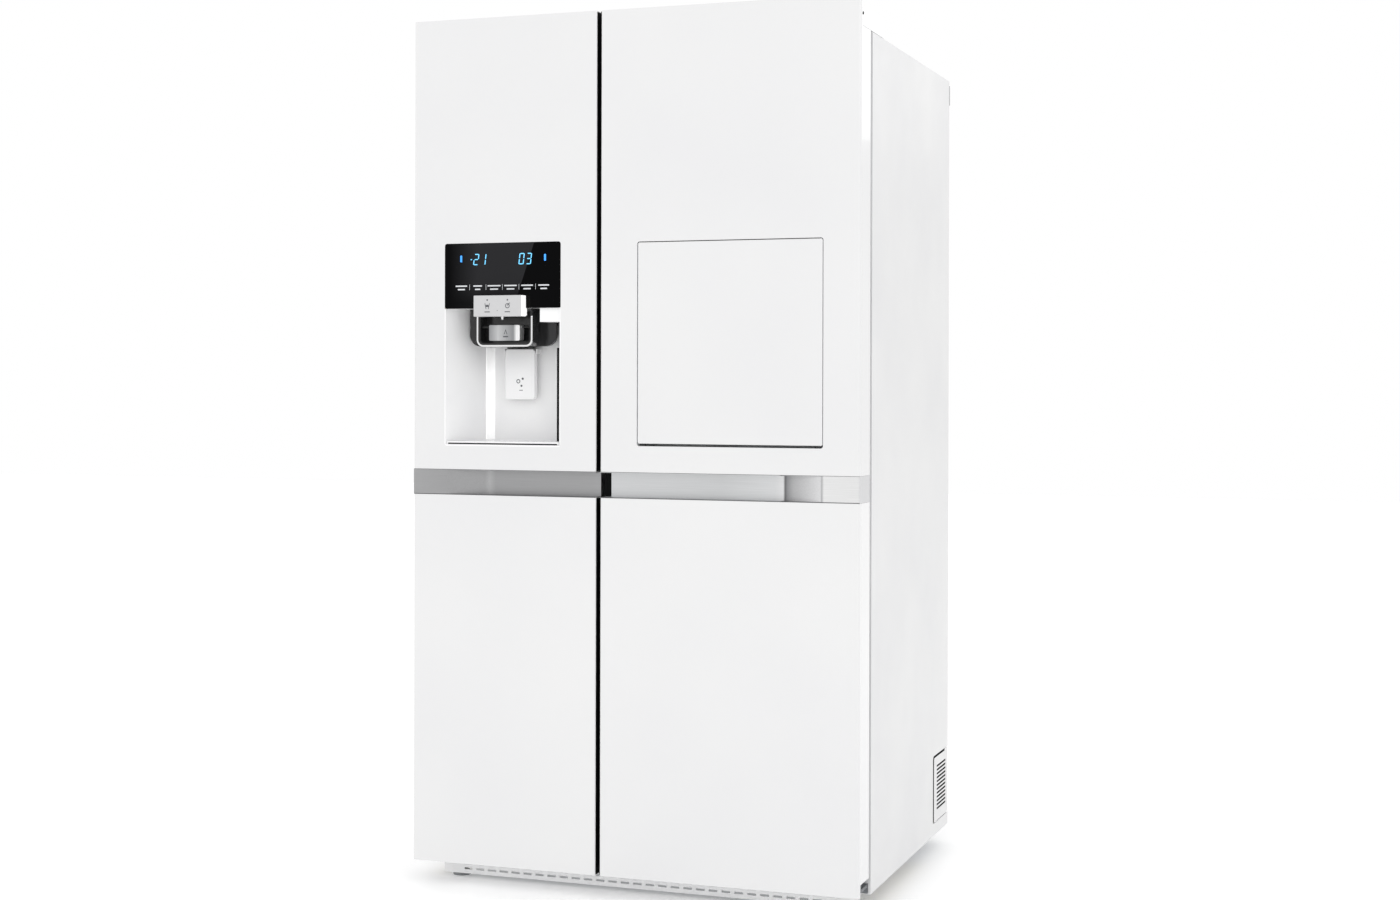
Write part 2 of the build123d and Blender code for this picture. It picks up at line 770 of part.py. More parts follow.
# mains inlet gland and water stub on the machine cover
with BuildPart() as service_inlet:
    y_inlet = y_back - rear_inset
    for place, radius in ((inlet_x, gland_radius), (stub_x, stub_radius)):
        with BuildSketch(Plane.XZ.offset(-y_inlet)) as seat:
            with Locations((place, z_shell + inlet_level)):
                Circle(radius)
                Circle(inlet_bore, mode=Mode.SUBTRACT)
        extrude(seat.sketch, amount=-rear_inset)
save(service_inlet.part, "service_inlet")


# hinges
def axis_x(side):
    return side * (x_out - hinge_inset)


y_plate = y_cabinet + hinge_plate_reach
screw_rows = [y_cabinet + reach for reach in hinge_screws]
hinge_near = hinge_inset - hinge_arm
with BuildPart() as upper_hinges:
    plate_z = (z_top, z_top + hinge_plate)
    for side in (-1, 1):
        peg(axis_x(side), y_axis, plate_z, hinge_arm)
        block(inward(side, hinge_near, hinge_inset + hinge_arm), (y_axis, y_plate), plate_z)
        block(inward(side, hinge_near, hinge_plate_width), (y_cabinet + 2 * cover_wall, y_plate), plate_z)
        peg(axis_x(side), y_axis, (z_notch - pin_length, z_top), pin_radius)
        for y in screw_rows:
            screw_x = side * (x_out - hinge_screw_inset)
            peg(screw_x, y, grow(plate_z, 1), screw_radius + 4 * pin_clearance, Mode.SUBTRACT)
save(upper_hinges.part, "upper_hinges")

with BuildPart() as cabinet_screws:
    for side in (-1, 1):
        screw_x = side * (x_out - hinge_screw_inset)
        for y in screw_rows:
            peg(screw_x, y, plate_z, screw_radius)
            peg(screw_x, y, (plate_z[1], plate_z[1] + screw_head), screw_head_radius)
save(cabinet_screws.part, "cabinet_screws")


def cover_shape(side, inset, z, mode=Mode.ADD):
    x = inward(side, cover_inset + inset, cover_width - inset)
    y = (y_axis - cover_overhang + inset, y_cabinet + cover_reach - inset)
    with BuildSketch(Plane.XY.offset(z[0])) as plan:
        with Locations(((x[0] + x[1]) / 2, (y[0] + y[1]) / 2)):
            Rectangle(x[1] - x[0], y[1] - y[0])
        fillet(plan.vertices().group_by(Axis.Y)[0], cover_front_corner - inset)
        fillet(plan.vertices().group_by(Axis.Y)[-1], cover_rear_corner - inset)
    extrude(plan.sketch, amount=z[1] - z[0], mode=mode)


with BuildPart() as hinge_covers:
    for side in (-1, 1):
        cover_shape(side, 0, (z_top, z_top + cover_height))
    fillet(hinge_covers.edges().group_by(Axis.Z)[-1], 0.8 * cover_wall)
    for side in (-1, 1):
        cover_shape(side, cover_wall, (z_top - 1, z_top + cover_height - cover_wall), Mode.SUBTRACT)
save(hinge_covers.part, "hinge_covers")

with BuildPart() as lower_hinges:
    arm_z = (z_door + hinge_plate, z_door + hinge_plate + lower_arm)
    for side in (-1, 1):
        peg(axis_x(side), y_axis, arm_z, hinge_arm)
        block(inward(side, hinge_near, lower_arm_width), (y_axis, y_cabinet), arm_z)
        foot_z = (z_shell + flange, arm_z[1])
        block(inward(side, hinge_near, hinge_plate_width), (y_cabinet - hinge_plate, y_cabinet), foot_z)
        peg(axis_x(side), y_axis, (arm_z[1], z_lower_notch - trim_gap), hinge_arm)
        peg(axis_x(side), y_axis, (arm_z[1], z_lower_notch + lower_pin), pin_radius)
save(lower_hinges.part, "lower_hinges")

# feet and rollers
for side, name in ((-1, "foot_left"), (1, "foot_right")):
    with BuildPart() as foot:
        foot_x = side * (x_out - foot_inset)
        peg(foot_x, foot_y, (0, foot_base), foot_radius)
        chamfer(foot.edges().group_by(Axis.Z)[-1], foot_chamfer)
        peg(foot_x, foot_y, (foot_base, z_base_top), foot_stem)
    save(foot.part, name)
for side, name in ((-1, "roller_left"), (1, "roller_right")):
    with BuildPart() as roller:
        wheel_x = around(side * roller_x, roller_width)
        shaft(wheel_x, roller_y, roller_radius, roller_radius)
        fillet(roller.edges().filter_by(GeomType.CIRCLE), roller_edge)
        shaft(wheel_x, roller_y, roller_radius, axle_radius + pin_clearance, Mode.SUBTRACT)
    save(roller.part, name)


# doors
def door_skin(side, width, opening_x, opening_z):
    """Upper and lower skin panels, parted by the grip's channel."""
    with BuildPart() as skin:
        door_plan(side, width, 0, (z_door, z_door_top), y_door)
        door_plan(side, width, sheet, (z_door - 1, z_door_top + 1), y_door + 1, Mode.SUBTRACT)
        block(inward(side, -1, width + 1), (y_front - 1, y_door + 1), channel_z, Mode.SUBTRACT)
        edge = inward(side, -1, 3 * sheet)
        block(edge, (y_lip, y_door + 1), (z_notch, z_door_top + 1), Mode.SUBTRACT)
        block(edge, (y_lip, y_door + 1), (z_door - 1, z_lower_notch), Mode.SUBTRACT)
        window(opening_x, opening_z, (y_front - 1, y_front + 3 * sheet), opening_corner)
    return skin.part


def cap_space(side, width, mode):
    """The room that the two end caps take from the door's inside."""
    door_plan(side, width, sheet, (z_door_top - cap_thickness, z_door_top), y_door, mode)
    door_plan(side, width, sheet, (z_door, z_door + cap_thickness), y_door, mode)
    deep = (y_front + door_corner, y_door)
    upper = inward(side, sheet, notch_length + housing_wall)
    lower = inward(side, sheet, lower_notch_length + housing_wall)
    block(upper, deep, (z_notch - cap_thickness, z_door_top), mode)
    block(lower, deep, (z_door, z_lower_notch + cap_thickness), mode)
    peg(axis_x(side), y_axis, (z_notch - pin_length - 2 * bush_floor, z_notch), bush_radius, mode)
    lower_bush = (z_lower_notch, z_lower_notch + lower_pin + 2 * bush_floor)
    peg(axis_x(side), y_axis, lower_bush, bush_radius, mode)


def door_caps(side, width):
    with BuildPart() as caps:
        cap_space(side, width, Mode.ADD)
        behind = (y_lip, y_door + 1)
        block(inward(side, -1, notch_length), behind, (z_notch, z_door_top + 1), Mode.SUBTRACT)
        block(inward(side, -1, lower_notch_length), behind, (z_door - 1, z_lower_notch), Mode.SUBTRACT)
        bore = pin_radius + pin_clearance
        peg(axis_x(side), y_axis, (z_notch - pin_length - 1, z_notch + 1), bore, Mode.SUBTRACT)
        lower_bore = (z_lower_notch - 1, z_lower_notch + lower_pin + 2)
        peg(axis_x(side), y_axis, lower_bore, bore, Mode.SUBTRACT)
    return caps.part


def grip_outline(side, width):
    """Plan of a grip: folded back at both ends, flush near the hinge, ramped to a finger channel."""
    floor = grip_depth + grip_wall
    plan = [
        (0, 0), (grip_flush, 0), (grip_flush + grip_ramp, grip_depth), (width, grip_depth),
        (width, door_thickness), (width - grip_wall, door_thickness), (width - grip_wall, floor),
        (grip_wall, floor), (grip_wall, door_thickness), (0, door_thickness),
    ]
    return [(side * (x_out - along), y_front + deep) for along, deep in plan]


def door_grip(side, width):
    with BuildPart() as grip:
        grip_z = grow(channel_z, -trim_gap)
        prism(grip_outline(side, width), grip_z)
        shelf_y = (y_front, y_front + grip_depth + grip_wall)
        for shelf_z in ((grip_z[0], grip_z[0] + grip_lip), (grip_z[1] - grip_lip, grip_z[1])):
            block(inward(side, grip_flush, width), shelf_y, shelf_z)
    return grip.part


def door_foam(side, width, pocket_x, pocket_y, pocket_z):
    with BuildPart() as foam:
        foam_z = (z_door + cap_thickness, z_door_top - cap_thickness)
        door_plan(side, width, sheet, foam_z, y_door - liner_plate)
        cap_space(side, width, Mode.SUBTRACT)
        channel_y = (y_front - 1, y_front + grip_depth + grip_wall)
        block(inward(side, -1, width + 1), channel_y, channel_z, Mode.SUBTRACT)
        for near, far in ((-1, grip_wall), (width - grip_wall, width + 1)):
            block(inward(side, near, far), (y_front, y_door), channel_z, Mode.SUBTRACT)
        block(pocket_x, pocket_y, pocket_z, Mode.SUBTRACT)
    return foam.part


def door_liner(side, width, pocket_x, pocket_y, pocket_z):
    """Inner door plate with two upright ribs and a box around what stands through the door."""
    with BuildPart() as plate:
        plate_z = (z_door + cap_thickness, z_door_top - cap_thickness)
        block(inward(side, sheet, width - sheet), (y_door - liner_plate, y_door), plate_z)
        rib_z = (z_low + liner_wall + rib_end, z_ceiling - liner_wall - rib_end)
        for near in (rib_inset, width - rib_free_inset - rib_wall):
            block(inward(side, near, near + rib_wall), (y_door, y_door + rib_depth), rib_z)
        cover = (y_door, pocket_y[1] + liner_plate)
        block(grow(pocket_x, liner_plate), cover, grow(pocket_z, liner_plate))
        block(pocket_x, (y_door - liner_plate - 1, pocket_y[1]), pocket_z, Mode.SUBTRACT)
        cap_space(side, width, Mode.SUBTRACT)
        for near, far in ((-1, grip_wall), (width - grip_wall, width + 1)):
            block(inward(side, near, far), (y_front, y_door + 1), channel_z, Mode.SUBTRACT)
    return plate.part


def door_gasket(side, width):
    with BuildPart() as seal:
        x = inward(side, gasket_hinge_inset, width - gasket_free_inset)
        z = (z_low - gasket_edge - gasket_width, z_ceiling + gasket_edge + gasket_width)
        y = (y_door, y_cabinet - trim_gap)
        block(x, y, z)
        block(grow(x, -gasket_width), grow(y, 1), grow(z, -gasket_width), Mode.SUBTRACT)
    return seal.part


def door_bins(side, width, heights, low_bin):
    """Open bins hung between the ribs, the lowest one shallow so that the drawers can move."""
    with BuildPart() as bins:
        x = inward(side, rib_inset + rib_wall, width - rib_free_inset - rib_wall)
        for height in heights:
            depth = rib_depth if height == low_bin else bin_depth
            y = (y_door, y_door + depth)
            block(x, y, (height, height + bin_height))
            hollow_z = (height + bin_wall, height + bin_height + 1)
            block(grow(x, -bin_wall), grow(y, -bin_wall), hollow_z, Mode.SUBTRACT)
    return bins.part


# freezer door
door = freezer_door_width
housing_y = (y_front, y_recess + housing_wall)
housing_z = (z_dispenser, z_panel_top)
save(door_skin(-1, door, dispenser_x, housing_z), "freezer_door_skin")
save(door_caps(-1, door), "freezer_door_caps")
save(door_grip(-1, door), "freezer_handle")
save(door_foam(-1, door, dispenser_x, housing_y, housing_z), "freezer_door_foam")
save(door_liner(-1, door, dispenser_x, housing_y, housing_z), "freezer_door_liner")
save(door_gasket(-1, door), "freezer_gasket")
low_bin = z_low + low_bin_lift
z_bins_lower = z_shelves + first_bin_lift
bins_top = z_ceiling - bin_height - bin_headroom
lower_bins = levels(z_bins_lower, z_dispenser - bin_height - bin_headroom, bin_pitch)
upper_bins = levels(z_panel_top + bin_headroom / 2, bins_top, bin_pitch)
save(door_bins(-1, door, [low_bin] + lower_bins + upper_bins, low_bin), "freezer_bins")

# dispenser housing: one moulding with the glass recess, tapered towards its back
z_pad_top = z_panel - pad_drop
y_pad = y_recess - pad_gap - pad_thickness
pad_pin_y = y_pad + 0.6 * pad_thickness
pad_pin_z = z_pad_top - 2.5 * shaft_radius
pad_lug_reach = pad_width + 2 * (pad_lug_gap + pad_lug)
with BuildPart() as dispenser_housing:
    window(dispenser_x, housing_z, housing_y, opening_corner, Mode.ADD)
    with BuildSketch(Plane.XY.offset(z_dispenser + housing_wall)) as recess:
        with BuildLine():
            Polyline(
                (dispenser_middle - recess_half(-1), y_front - 1),
                (dispenser_middle - throat, y_recess),
                (dispenser_middle + throat, y_recess),
                (dispenser_middle + recess_half(-1), y_front - 1),
                close=True,
            )
        make_face()
        fillet(recess.vertices().group_by(Axis.Y)[-1], recess_corner)
    extrude(recess.sketch, amount=recess_height - housing_wall, mode=Mode.SUBTRACT)
    seat_y = (y_front - 1, y_front + panel_thickness)
    block(grow(dispenser_x, 1), seat_y, (z_panel, z_panel_top + 1), Mode.SUBTRACT)
    board_y = (y_front + panel_thickness + housing_wall, y_recess + 2 * housing_wall)
    board_z = (z_panel + 2 * housing_wall, z_panel_top - 3 * housing_wall)
    block(grow(dispenser_x, -3 * housing_wall), board_y, board_z, Mode.SUBTRACT)
    # step beside the hood, on the recess's right cheek
    lug_x = (dispenser_middle + chute_width / 2 + ring_lip + lug_gap, dispenser_middle + mouth)
    lug_y = (y_front + lug_setback, y_front + hood_setback - 1)
    block(lug_x, lug_y, (z_panel - lug_height, z_panel))
    for lug in (-1, 1):
        pad_lug_x = around(dispenser_middle + lug * (pad_lug_reach - pad_lug) / 2, pad_lug)
        block(pad_lug_x, (y_pad + pad_lug, y_recess), (z_pad_top - 5 * shaft_radius, z_pad_top))
    bore_x = around(dispenser_middle, pad_lug_reach + 2)
    shaft(bore_x, pad_pin_y, pad_pin_z, shaft_radius + pin_clearance, Mode.SUBTRACT)
save(dispenser_housing.part, "dispenser_housing")

with BuildPart() as control_panel:
    glass_z = (z_panel, z_panel_top - trim_gap)
    glass_y = (y_front, y_front + panel_thickness)
    window(grow(dispenser_x, -trim_gap), glass_z, glass_y, opening_corner, Mode.ADD)
save(control_panel.part, "control_panel")

# selector block, standing proud over the panel's lower edge
y_chute = y_front + chute_setback
with BuildPart() as selector_block:
    block_x = around(dispenser_middle, block_width)
    block_z = (z_panel + block_overlap - block_height, z_panel + block_overlap)
    block(block_x, (y_front - block_proud, y_front), block_z)
    fillet(selector_block.edges().filter_by(Axis.Z), block_edge)
    fillet(selector_block.edges().group_by(Axis.Y)[0], block_edge / 2)
    neck_z = (block_z[0] + block_edge, z_panel - trim_gap)
    block(grow(block_x, -2 * block_edge), (y_front, y_chute), neck_z)
save(selector_block.part, "selector_block")

# chute hood: a wide back plate with wings, and the narrower chute with the paddle's recess
duct_x = around(dispenser_middle, duct_width)
duct_y = (y_front + hood_setback + 2 * housing_wall, y_recess - 2 * hood_clearance)
chute_x = around(dispenser_middle, chute_width)
inner_x = grow(chute_x, -chute_wall)
lever_y = y_chute + hood_wing
lever_z = z_hood + paddle_floor + paddle_height - paddle_above
flap_y = duct_y[0] + chute_wall
flap_z = z_hood + flap_lift
with BuildPart() as chute_hood:
    hood_z = (z_hood, z_panel)
    y_hood = y_front + hood_setback
    plate_x = around(dispenser_middle, 2 * (throat - hood_clearance))
    cup(plate_x, hood_z, (y_hood, y_recess - hood_clearance), hood_corner)
    wing_half = recess_half(hood_setback + hood_wing) - hood_clearance
    cup(around(dispenser_middle, 2 * wing_half), hood_z, (y_hood, y_hood + hood_wing), hood_corner)
    cup(chute_x, hood_z, (y_chute, y_hood), chute_corner)
    recess_y = (y_chute - 1, y_chute + chute_recess)
    recess_z = (z_hood + chute_wall, z_panel - block_edge - ring_thickness)
    cup(inner_x, recess_z, recess_y, chute_corner - chute_wall, Mode.SUBTRACT)
    block(duct_x, duct_y, (z_hood - 1, z_panel - housing_wall), Mode.SUBTRACT)
    lever_bore = shaft_radius + pin_clearance
    shaft(grow(inner_x, lever_bore), lever_y, lever_z, lever_bore, Mode.SUBTRACT)
    shaft(grow(duct_x, lever_bore), flap_y, flap_z, lever_bore, Mode.SUBTRACT)
save(chute_hood.part, "chute_hood")

with BuildPart() as chute_ring:
    ring_x = grow(chute_x, ring_lip)
    ring_z = (z_hood - ring_lip, block_z[0] + ring_lip)
    ring_y = (y_chute - ring_thickness, y_chute)
    cup(ring_x, ring_z, ring_y, chute_corner + ring_lip)
    hole_z = (ring_z[0] + ring_wall, ring_z[1] + 1)
    hole_corner = chute_corner + ring_lip - ring_wall
    cup(grow(ring_x, -ring_wall), hole_z, grow(ring_y, 1), hole_corner, Mode.SUBTRACT)
save(chute_ring.part, "chute_ring")

with BuildPart() as ice_lever:
    paddle_z = (lever_z + paddle_above - paddle_height, lever_z + paddle_above)
    paddle_y = (y_chute - paddle_proud, y_chute - paddle_proud + paddle_thickness)
    block(around(dispenser_middle, paddle_width), paddle_y, paddle_z)
    fillet(ice_lever.edges().filter_by(Axis.Y), paddle_edge)
    fillet(ice_lever.edges().group_by(Axis.Y)[0], paddle_edge / 3)
    shaft(grow(inner_x, lever_bore - shaft_end_gap), lever_y, lever_z, shaft_radius)
save(ice_lever.part, "ice_lever")

with BuildPart() as ice_flap:
    shaft(grow(duct_x, lever_bore - shaft_end_gap), flap_y, flap_z, shaft_radius)
    flap_plate_y = (flap_y, duct_y[1] - ring_lip)
    block(grow(duct_x, -shaft_radius), flap_plate_y, around(flap_z, ice_flap_thickness))
save(ice_flap.part, "ice_flap")

# water pad, hung from its top pin in front of the recess's back wall
with BuildPart() as water_lever:
    pad_x = around(dispenser_middle, pad_width)
    block(pad_x, (y_pad, y_pad + pad_thickness), (z_pad_top - pad_height, z_pad_top))
    fillet(water_lever.edges().filter_by(Axis.Y), pad_corner)
    fillet(water_lever.edges().group_by(Axis.Y)[0], pad_corner / 4)
    pad_shaft = grow(pad_x, pad_lug_gap + pad_lug - shaft_end_gap)
    shaft(pad_shaft, pad_pin_y, pad_pin_z, shaft_radius)
save(water_lever.part, "water_lever")

# drip tray, a slatted tray that pulls forwards
with BuildPart() as drip_tray:
    tray_y = (y_front + shaft_radius, y_recess - tray_rear_gap)
    near = recess_half(tray_y[0] - y_front) - tray_side_gap
    far = recess_half(tray_y[1] - y_front) - tray_side_gap
    tray_z = (z_dispenser + housing_wall + trim_gap, z_dispenser + housing_wall + tray_height)
    corners = [
        (dispenser_middle - near, tray_y[0]), (dispenser_middle - far, tray_y[1]),
        (dispenser_middle + far, tray_y[1]), (dispenser_middle + near, tray_y[0]),
    ]
    prism(corners, tray_z)
    for step in range(tray_slots):
        middle = dispenser_middle + (step - (tray_slots - 1) / 2) * tray_slot_pitch
        slot_z = (tray_z[1] - tray_height / 2, tray_z[1] + 1)
        block(around(middle, tray_slot_width), grow(tray_y, -2 * tray_height), slot_z, Mode.SUBTRACT)
save(drip_tray.part, "drip_tray")

# fridge door
door = fridge_door_width
case_x = grow(homebar_x, case_wall)
case_y = (y_front + sheet, y_front + case_depth)
case_z = grow((z_homebar, z_homebar_top), case_wall)
save(door_skin(1, door, homebar_x, (z_homebar, z_homebar_top)), "fridge_door_skin")
save(door_caps(1, door), "fridge_door_caps")
save(door_grip(1, door), "fridge_handle")
save(door_foam(1, door, case_x, case_y, case_z), "fridge_door_foam")
save(door_liner(1, door, case_x, case_y, case_z), "fridge_door_liner")
save(door_gasket(1, door), "fridge_gasket")
lower_bins = levels(z_bins_lower, case_z[0] - bin_height - bin_headroom, bin_pitch)
upper_bins = levels(case_z[1] + bin_headroom / 2, bins_top, bin_pitch)
save(door_bins(1, door, [low_bin] + lower_bins + upper_bins, low_bin), "fridge_bins")

# home bar case: a box through the door with a ledge for the flap's seal and one shelf
y_ledge = y_front + flap_thickness + seal_thickness + seal_gap
with BuildPart() as homebar_case:
    block(case_x, case_y, case_z)
    block(homebar_x, (y_front, y_ledge), (z_homebar, z_homebar_top), Mode.SUBTRACT)
    hollow_x = grow(homebar_x, -case_ledge)
    hollow_z = grow((z_homebar, z_homebar_top), -case_ledge)
    y_case_back = case_y[1] - case_back
    block(hollow_x, (y_ledge - 1, y_case_back), hollow_z, Mode.SUBTRACT)
    shelf_z = z_homebar + case_shelf_level
    block(hollow_x, (y_ledge + case_shelf_setback, y_case_back), (shelf_z, shelf_z + case_shelf))
    pin_bore = flap_pin_radius + pin_clearance
    shaft(grow(homebar_x, case_wall), y_flap_axis, z_flap_axis, pin_bore, Mode.SUBTRACT)
save(homebar_case.part, "homebar_case")

flap_x = grow(homebar_x, -flap_gap)
flap_z = (z_homebar + flap_bottom_gap, z_homebar_top - flap_gap)
core_x = grow(flap_x, -flap_skin)
core_z = grow(flap_z, -flap_skin)
with BuildPart() as homebar_skin:
    block(flap_x, (y_front, y_front + flap_side), flap_z)
    fillet(homebar_skin.edges().filter_by(Axis.Y), flap_corner)
    fillet(homebar_skin.edges().group_by(Axis.Y)[0], flap_edge)
    block(core_x, (y_front + flap_skin, y_front + flap_side + 1), core_z, Mode.SUBTRACT)
    pin_reach = flap_gap + case_wall - flap_edge
    left_pin = (flap_x[0] - pin_reach, flap_x[0] + flap_skin)
    right_pin = (flap_x[1] - flap_skin, flap_x[1] + pin_reach)
    for pin_x in (left_pin, right_pin):
        shaft(pin_x, y_flap_axis, z_flap_axis, flap_pin_radius)
save(homebar_skin.part, "homebar_skin")

with BuildPart() as homebar_liner:
    block(core_x, (y_front + flap_skin, y_front + flap_thickness), core_z)
    fillet(homebar_liner.edges().group_by(Axis.Y)[-1], flap_corner)
    tray_y = (y_front + flap_thickness - flap_tray_depth, y_front + flap_thickness + 1)
    block(grow(core_x, -flap_tray_rim), tray_y, grow(core_z, -flap_tray_rim), Mode.SUBTRACT)
save(homebar_liner.part, "homebar_liner")

with BuildPart() as homebar_gasket:
    seal_y = (y_front + flap_thickness, y_front + flap_thickness + seal_thickness)
    seal_x = grow(core_x, -2 * flap_corner)
    seal_z = grow(core_z, -2 * flap_corner)
    block(seal_x, seal_y, seal_z)
    block(grow(seal_x, -seal_width), grow(seal_y, 1), grow(seal_z, -seal_width), Mode.SUBTRACT)
save(homebar_gasket.part, "homebar_gasket")
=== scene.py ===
import math
import bmesh
import bpy
from mathutils import Matrix, Vector
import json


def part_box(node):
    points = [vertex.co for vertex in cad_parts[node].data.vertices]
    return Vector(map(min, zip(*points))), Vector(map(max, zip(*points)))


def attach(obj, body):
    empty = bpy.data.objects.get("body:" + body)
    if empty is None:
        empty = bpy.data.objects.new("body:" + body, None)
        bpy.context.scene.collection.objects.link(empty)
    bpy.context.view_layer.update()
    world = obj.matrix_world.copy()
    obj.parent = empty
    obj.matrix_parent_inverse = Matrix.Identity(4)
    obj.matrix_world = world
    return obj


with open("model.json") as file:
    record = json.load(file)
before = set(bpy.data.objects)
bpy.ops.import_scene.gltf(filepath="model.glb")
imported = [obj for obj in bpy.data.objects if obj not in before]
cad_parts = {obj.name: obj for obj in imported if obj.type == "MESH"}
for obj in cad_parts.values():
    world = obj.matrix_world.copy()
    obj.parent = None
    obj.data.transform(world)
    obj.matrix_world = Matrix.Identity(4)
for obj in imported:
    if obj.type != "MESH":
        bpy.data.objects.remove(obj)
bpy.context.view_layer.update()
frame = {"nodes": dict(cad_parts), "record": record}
mm = 0.001
print("frame loaded:", len(frame["nodes"]), "nodes")


def hexToLinear(code):
    channels = [int(code.lstrip("#")[i:i + 2], 16) / 255 for i in (0, 2, 4)]
    return tuple(c / 12.92 if c <= 0.04045 else ((c + 0.055) / 1.055) ** 2.4 for c in channels) + (1.0,)


def addNode(tree, kind, settings=None, links=None):
    # one node, with its attributes or socket values set and its inputs linked
    node = tree.nodes.new(kind)
    for key, value in (settings or {}).items():
        if isinstance(key, str) and hasattr(node, key):
            setattr(node, key, value)
        else:
            node.inputs[key].default_value = value
    for key, socket in (links or {}).items():
        tree.links.new(socket, node.inputs[key])
    return node


def newMaterial(name, colour, **surface):
    # a material with a Principled shader; surface holds its sockets' plain values
    material = bpy.data.materials.new(name)
    material.use_nodes = True
    tree = material.node_tree
    shader = tree.nodes["Principled BSDF"]
    shader.inputs["Base Color"].default_value = hexToLinear(colour)
    for key, value in surface.items():
        shader.inputs[key].default_value = value
    material.diffuse_color = hexToLinear(colour)
    return material, tree, shader


def place(tree, stretch=(1, 1, 1)):
    # object coordinates in metres, stretched for grain or brushing
    where = addNode(tree, "ShaderNodeTexCoord")
    mapping = addNode(tree, "ShaderNodeMapping", {"Scale": stretch}, {"Vector": where.outputs["Object"]})
    return mapping.outputs[0]


def noiseOf(tree, vector, sizeMm, detail=2.0, rough=0.5):
    # noise whose features are about sizeMm across
    settings = {"Scale": 1.0 / (sizeMm * mm), "Detail": detail, "Roughness": rough}
    return addNode(tree, "ShaderNodeTexNoise", settings, {"Vector": vector}).outputs["Fac"]


def remap(tree, value, low, high, fromLow=0.3, fromHigh=0.7):
    settings = {"From Min": fromLow, "From Max": fromHigh, "To Min": low, "To Max": high}
    return addNode(tree, "ShaderNodeMapRange", settings, {"Value": value}).outputs[0]


def tint(tree, factor, colourA, colourB):
    settings = {"data_type": "RGBA", 6: hexToLinear(colourA), 7: hexToLinear(colourB)}
    return addNode(tree, "ShaderNodeMix", settings, {0: factor}).outputs[2]


def mathOf(tree, operation, first, second=None):
    # a maths node on two inputs, each a socket or a plain value
    node = addNode(tree, "ShaderNodeMath", {"operation": operation}, {0: first})
    if isinstance(second, float):
        node.inputs[1].default_value = second
    elif second is not None:
        tree.links.new(second, node.inputs[1])
    return node.outputs[0]


def bumped(tree, shader, height, strength, depthMm):
    settings = {"Strength": strength, "Distance": depthMm * mm}
    bump = addNode(tree, "ShaderNodeBump", settings, {"Height": height})
    tree.links.new(bump.outputs[0], shader.inputs["Normal"])


# gloss enamel baked on steel sheet: a wet-looking white with a faint orange peel
doorEnamelLook = {
    "light": "#E7E7E7", "dark": "#E3E3E4", "cloudMm": 420, "peelMm": 3.2, "peelDepthMm": 0.012, "peel": 0.35,
    "roughness": 0.16, "coat": 0.6, "coatRoughness": 0.04,
}


def makeDoorEnamel():
    look = doorEnamelLook
    material, tree, shader = newMaterial("glossDoorEnamel", look["light"])
    shader.inputs["Roughness"].default_value = look["roughness"]
    shader.inputs["Coat Weight"].default_value = look["coat"]
    shader.inputs["Coat Roughness"].default_value = look["coatRoughness"]
    vector = place(tree)
    cloud = remap(tree, noiseOf(tree, vector, look["cloudMm"]), 0, 1)
    tree.links.new(tint(tree, cloud, look["light"], look["dark"]), shader.inputs["Base Color"])
    bumped(tree, shader, noiseOf(tree, vector, look["peelMm"], 1), look["peel"], look["peelDepthMm"])
    return material


# satin coil-coated steel of the cabinet wrap: greyer, with a fine leather-like roller texture
cabinetLook = {
    "light": "#E3E3E3", "dark": "#DDDDDE", "cloudMm": 260, "wearMm": 60, "gloss": (0.34, 0.42),
    "textureMm": 2.6, "textureDepthMm": 0.05, "texture": 0.4,
}


def makeCabinetEnamel():
    look = cabinetLook
    material, tree, shader = newMaterial("coilCoatedSteel", look["light"])
    vector = place(tree)
    cloud = remap(tree, noiseOf(tree, vector, look["cloudMm"]), 0, 1)
    tree.links.new(tint(tree, cloud, look["light"], look["dark"]), shader.inputs["Base Color"])
    wear = remap(tree, noiseOf(tree, vector, look["wearMm"]), *look["gloss"])
    tree.links.new(wear, shader.inputs["Roughness"])
    bumped(tree, shader, noiseOf(tree, vector, look["textureMm"], 2), look["texture"], look["textureDepthMm"])
    return material


# brushed and anodised aluminium: long fine lines along the grip, drawn coarser than real ones so they show
brushLook = {
    "lineMm": 1.0, "lineLengthMm": 140, "depthMm": 0.03, "streak": 0.09, "gloss": (0.32, 0.46), "bump": 0.3,
}
# painted shading along each grip, as X in mm and colour: lighter and darker stops stand in for the
# reflections and shadows on the flush end, ramp and finger channel, and the dark stops are painted shadow in
# the ramp's corner
freezerGripPaintedShading = (
    (-456, "#A6A6A7"), (-384, "#A0A0A1"), (-312, "#A2A2A3"), (-303, "#B0B0B1"), (-290, "#A1A1A2"),
    (-66, "#A4A4A5"),
)
fridgeGripPaintedShading = (
    (-45, "#CFD0D1"), (180, "#CBCCCD"), (285, "#D6D7D8"), (301, "#E0E0E1"), (304, "#646466"),
    (309, "#939395"), (322, "#B2B2B3"), (352, "#C6C6C7"), (380, "#D6D6D7"), (383, "#A8A8AA"),
    (386, "#E4E4E4"), (452, "#E2E2E2"), (455.5, "#D9D9DA"),
)


def fillRamp(ramp, stops):
    # stops are pairs of position and colour; a new ramp already has two
    elements = ramp.color_ramp.elements
    for i, (spot, colour) in enumerate(stops):
        stop = elements[i] if i < 2 else elements.new(spot)
        stop.position = spot
        stop.color = hexToLinear(colour)


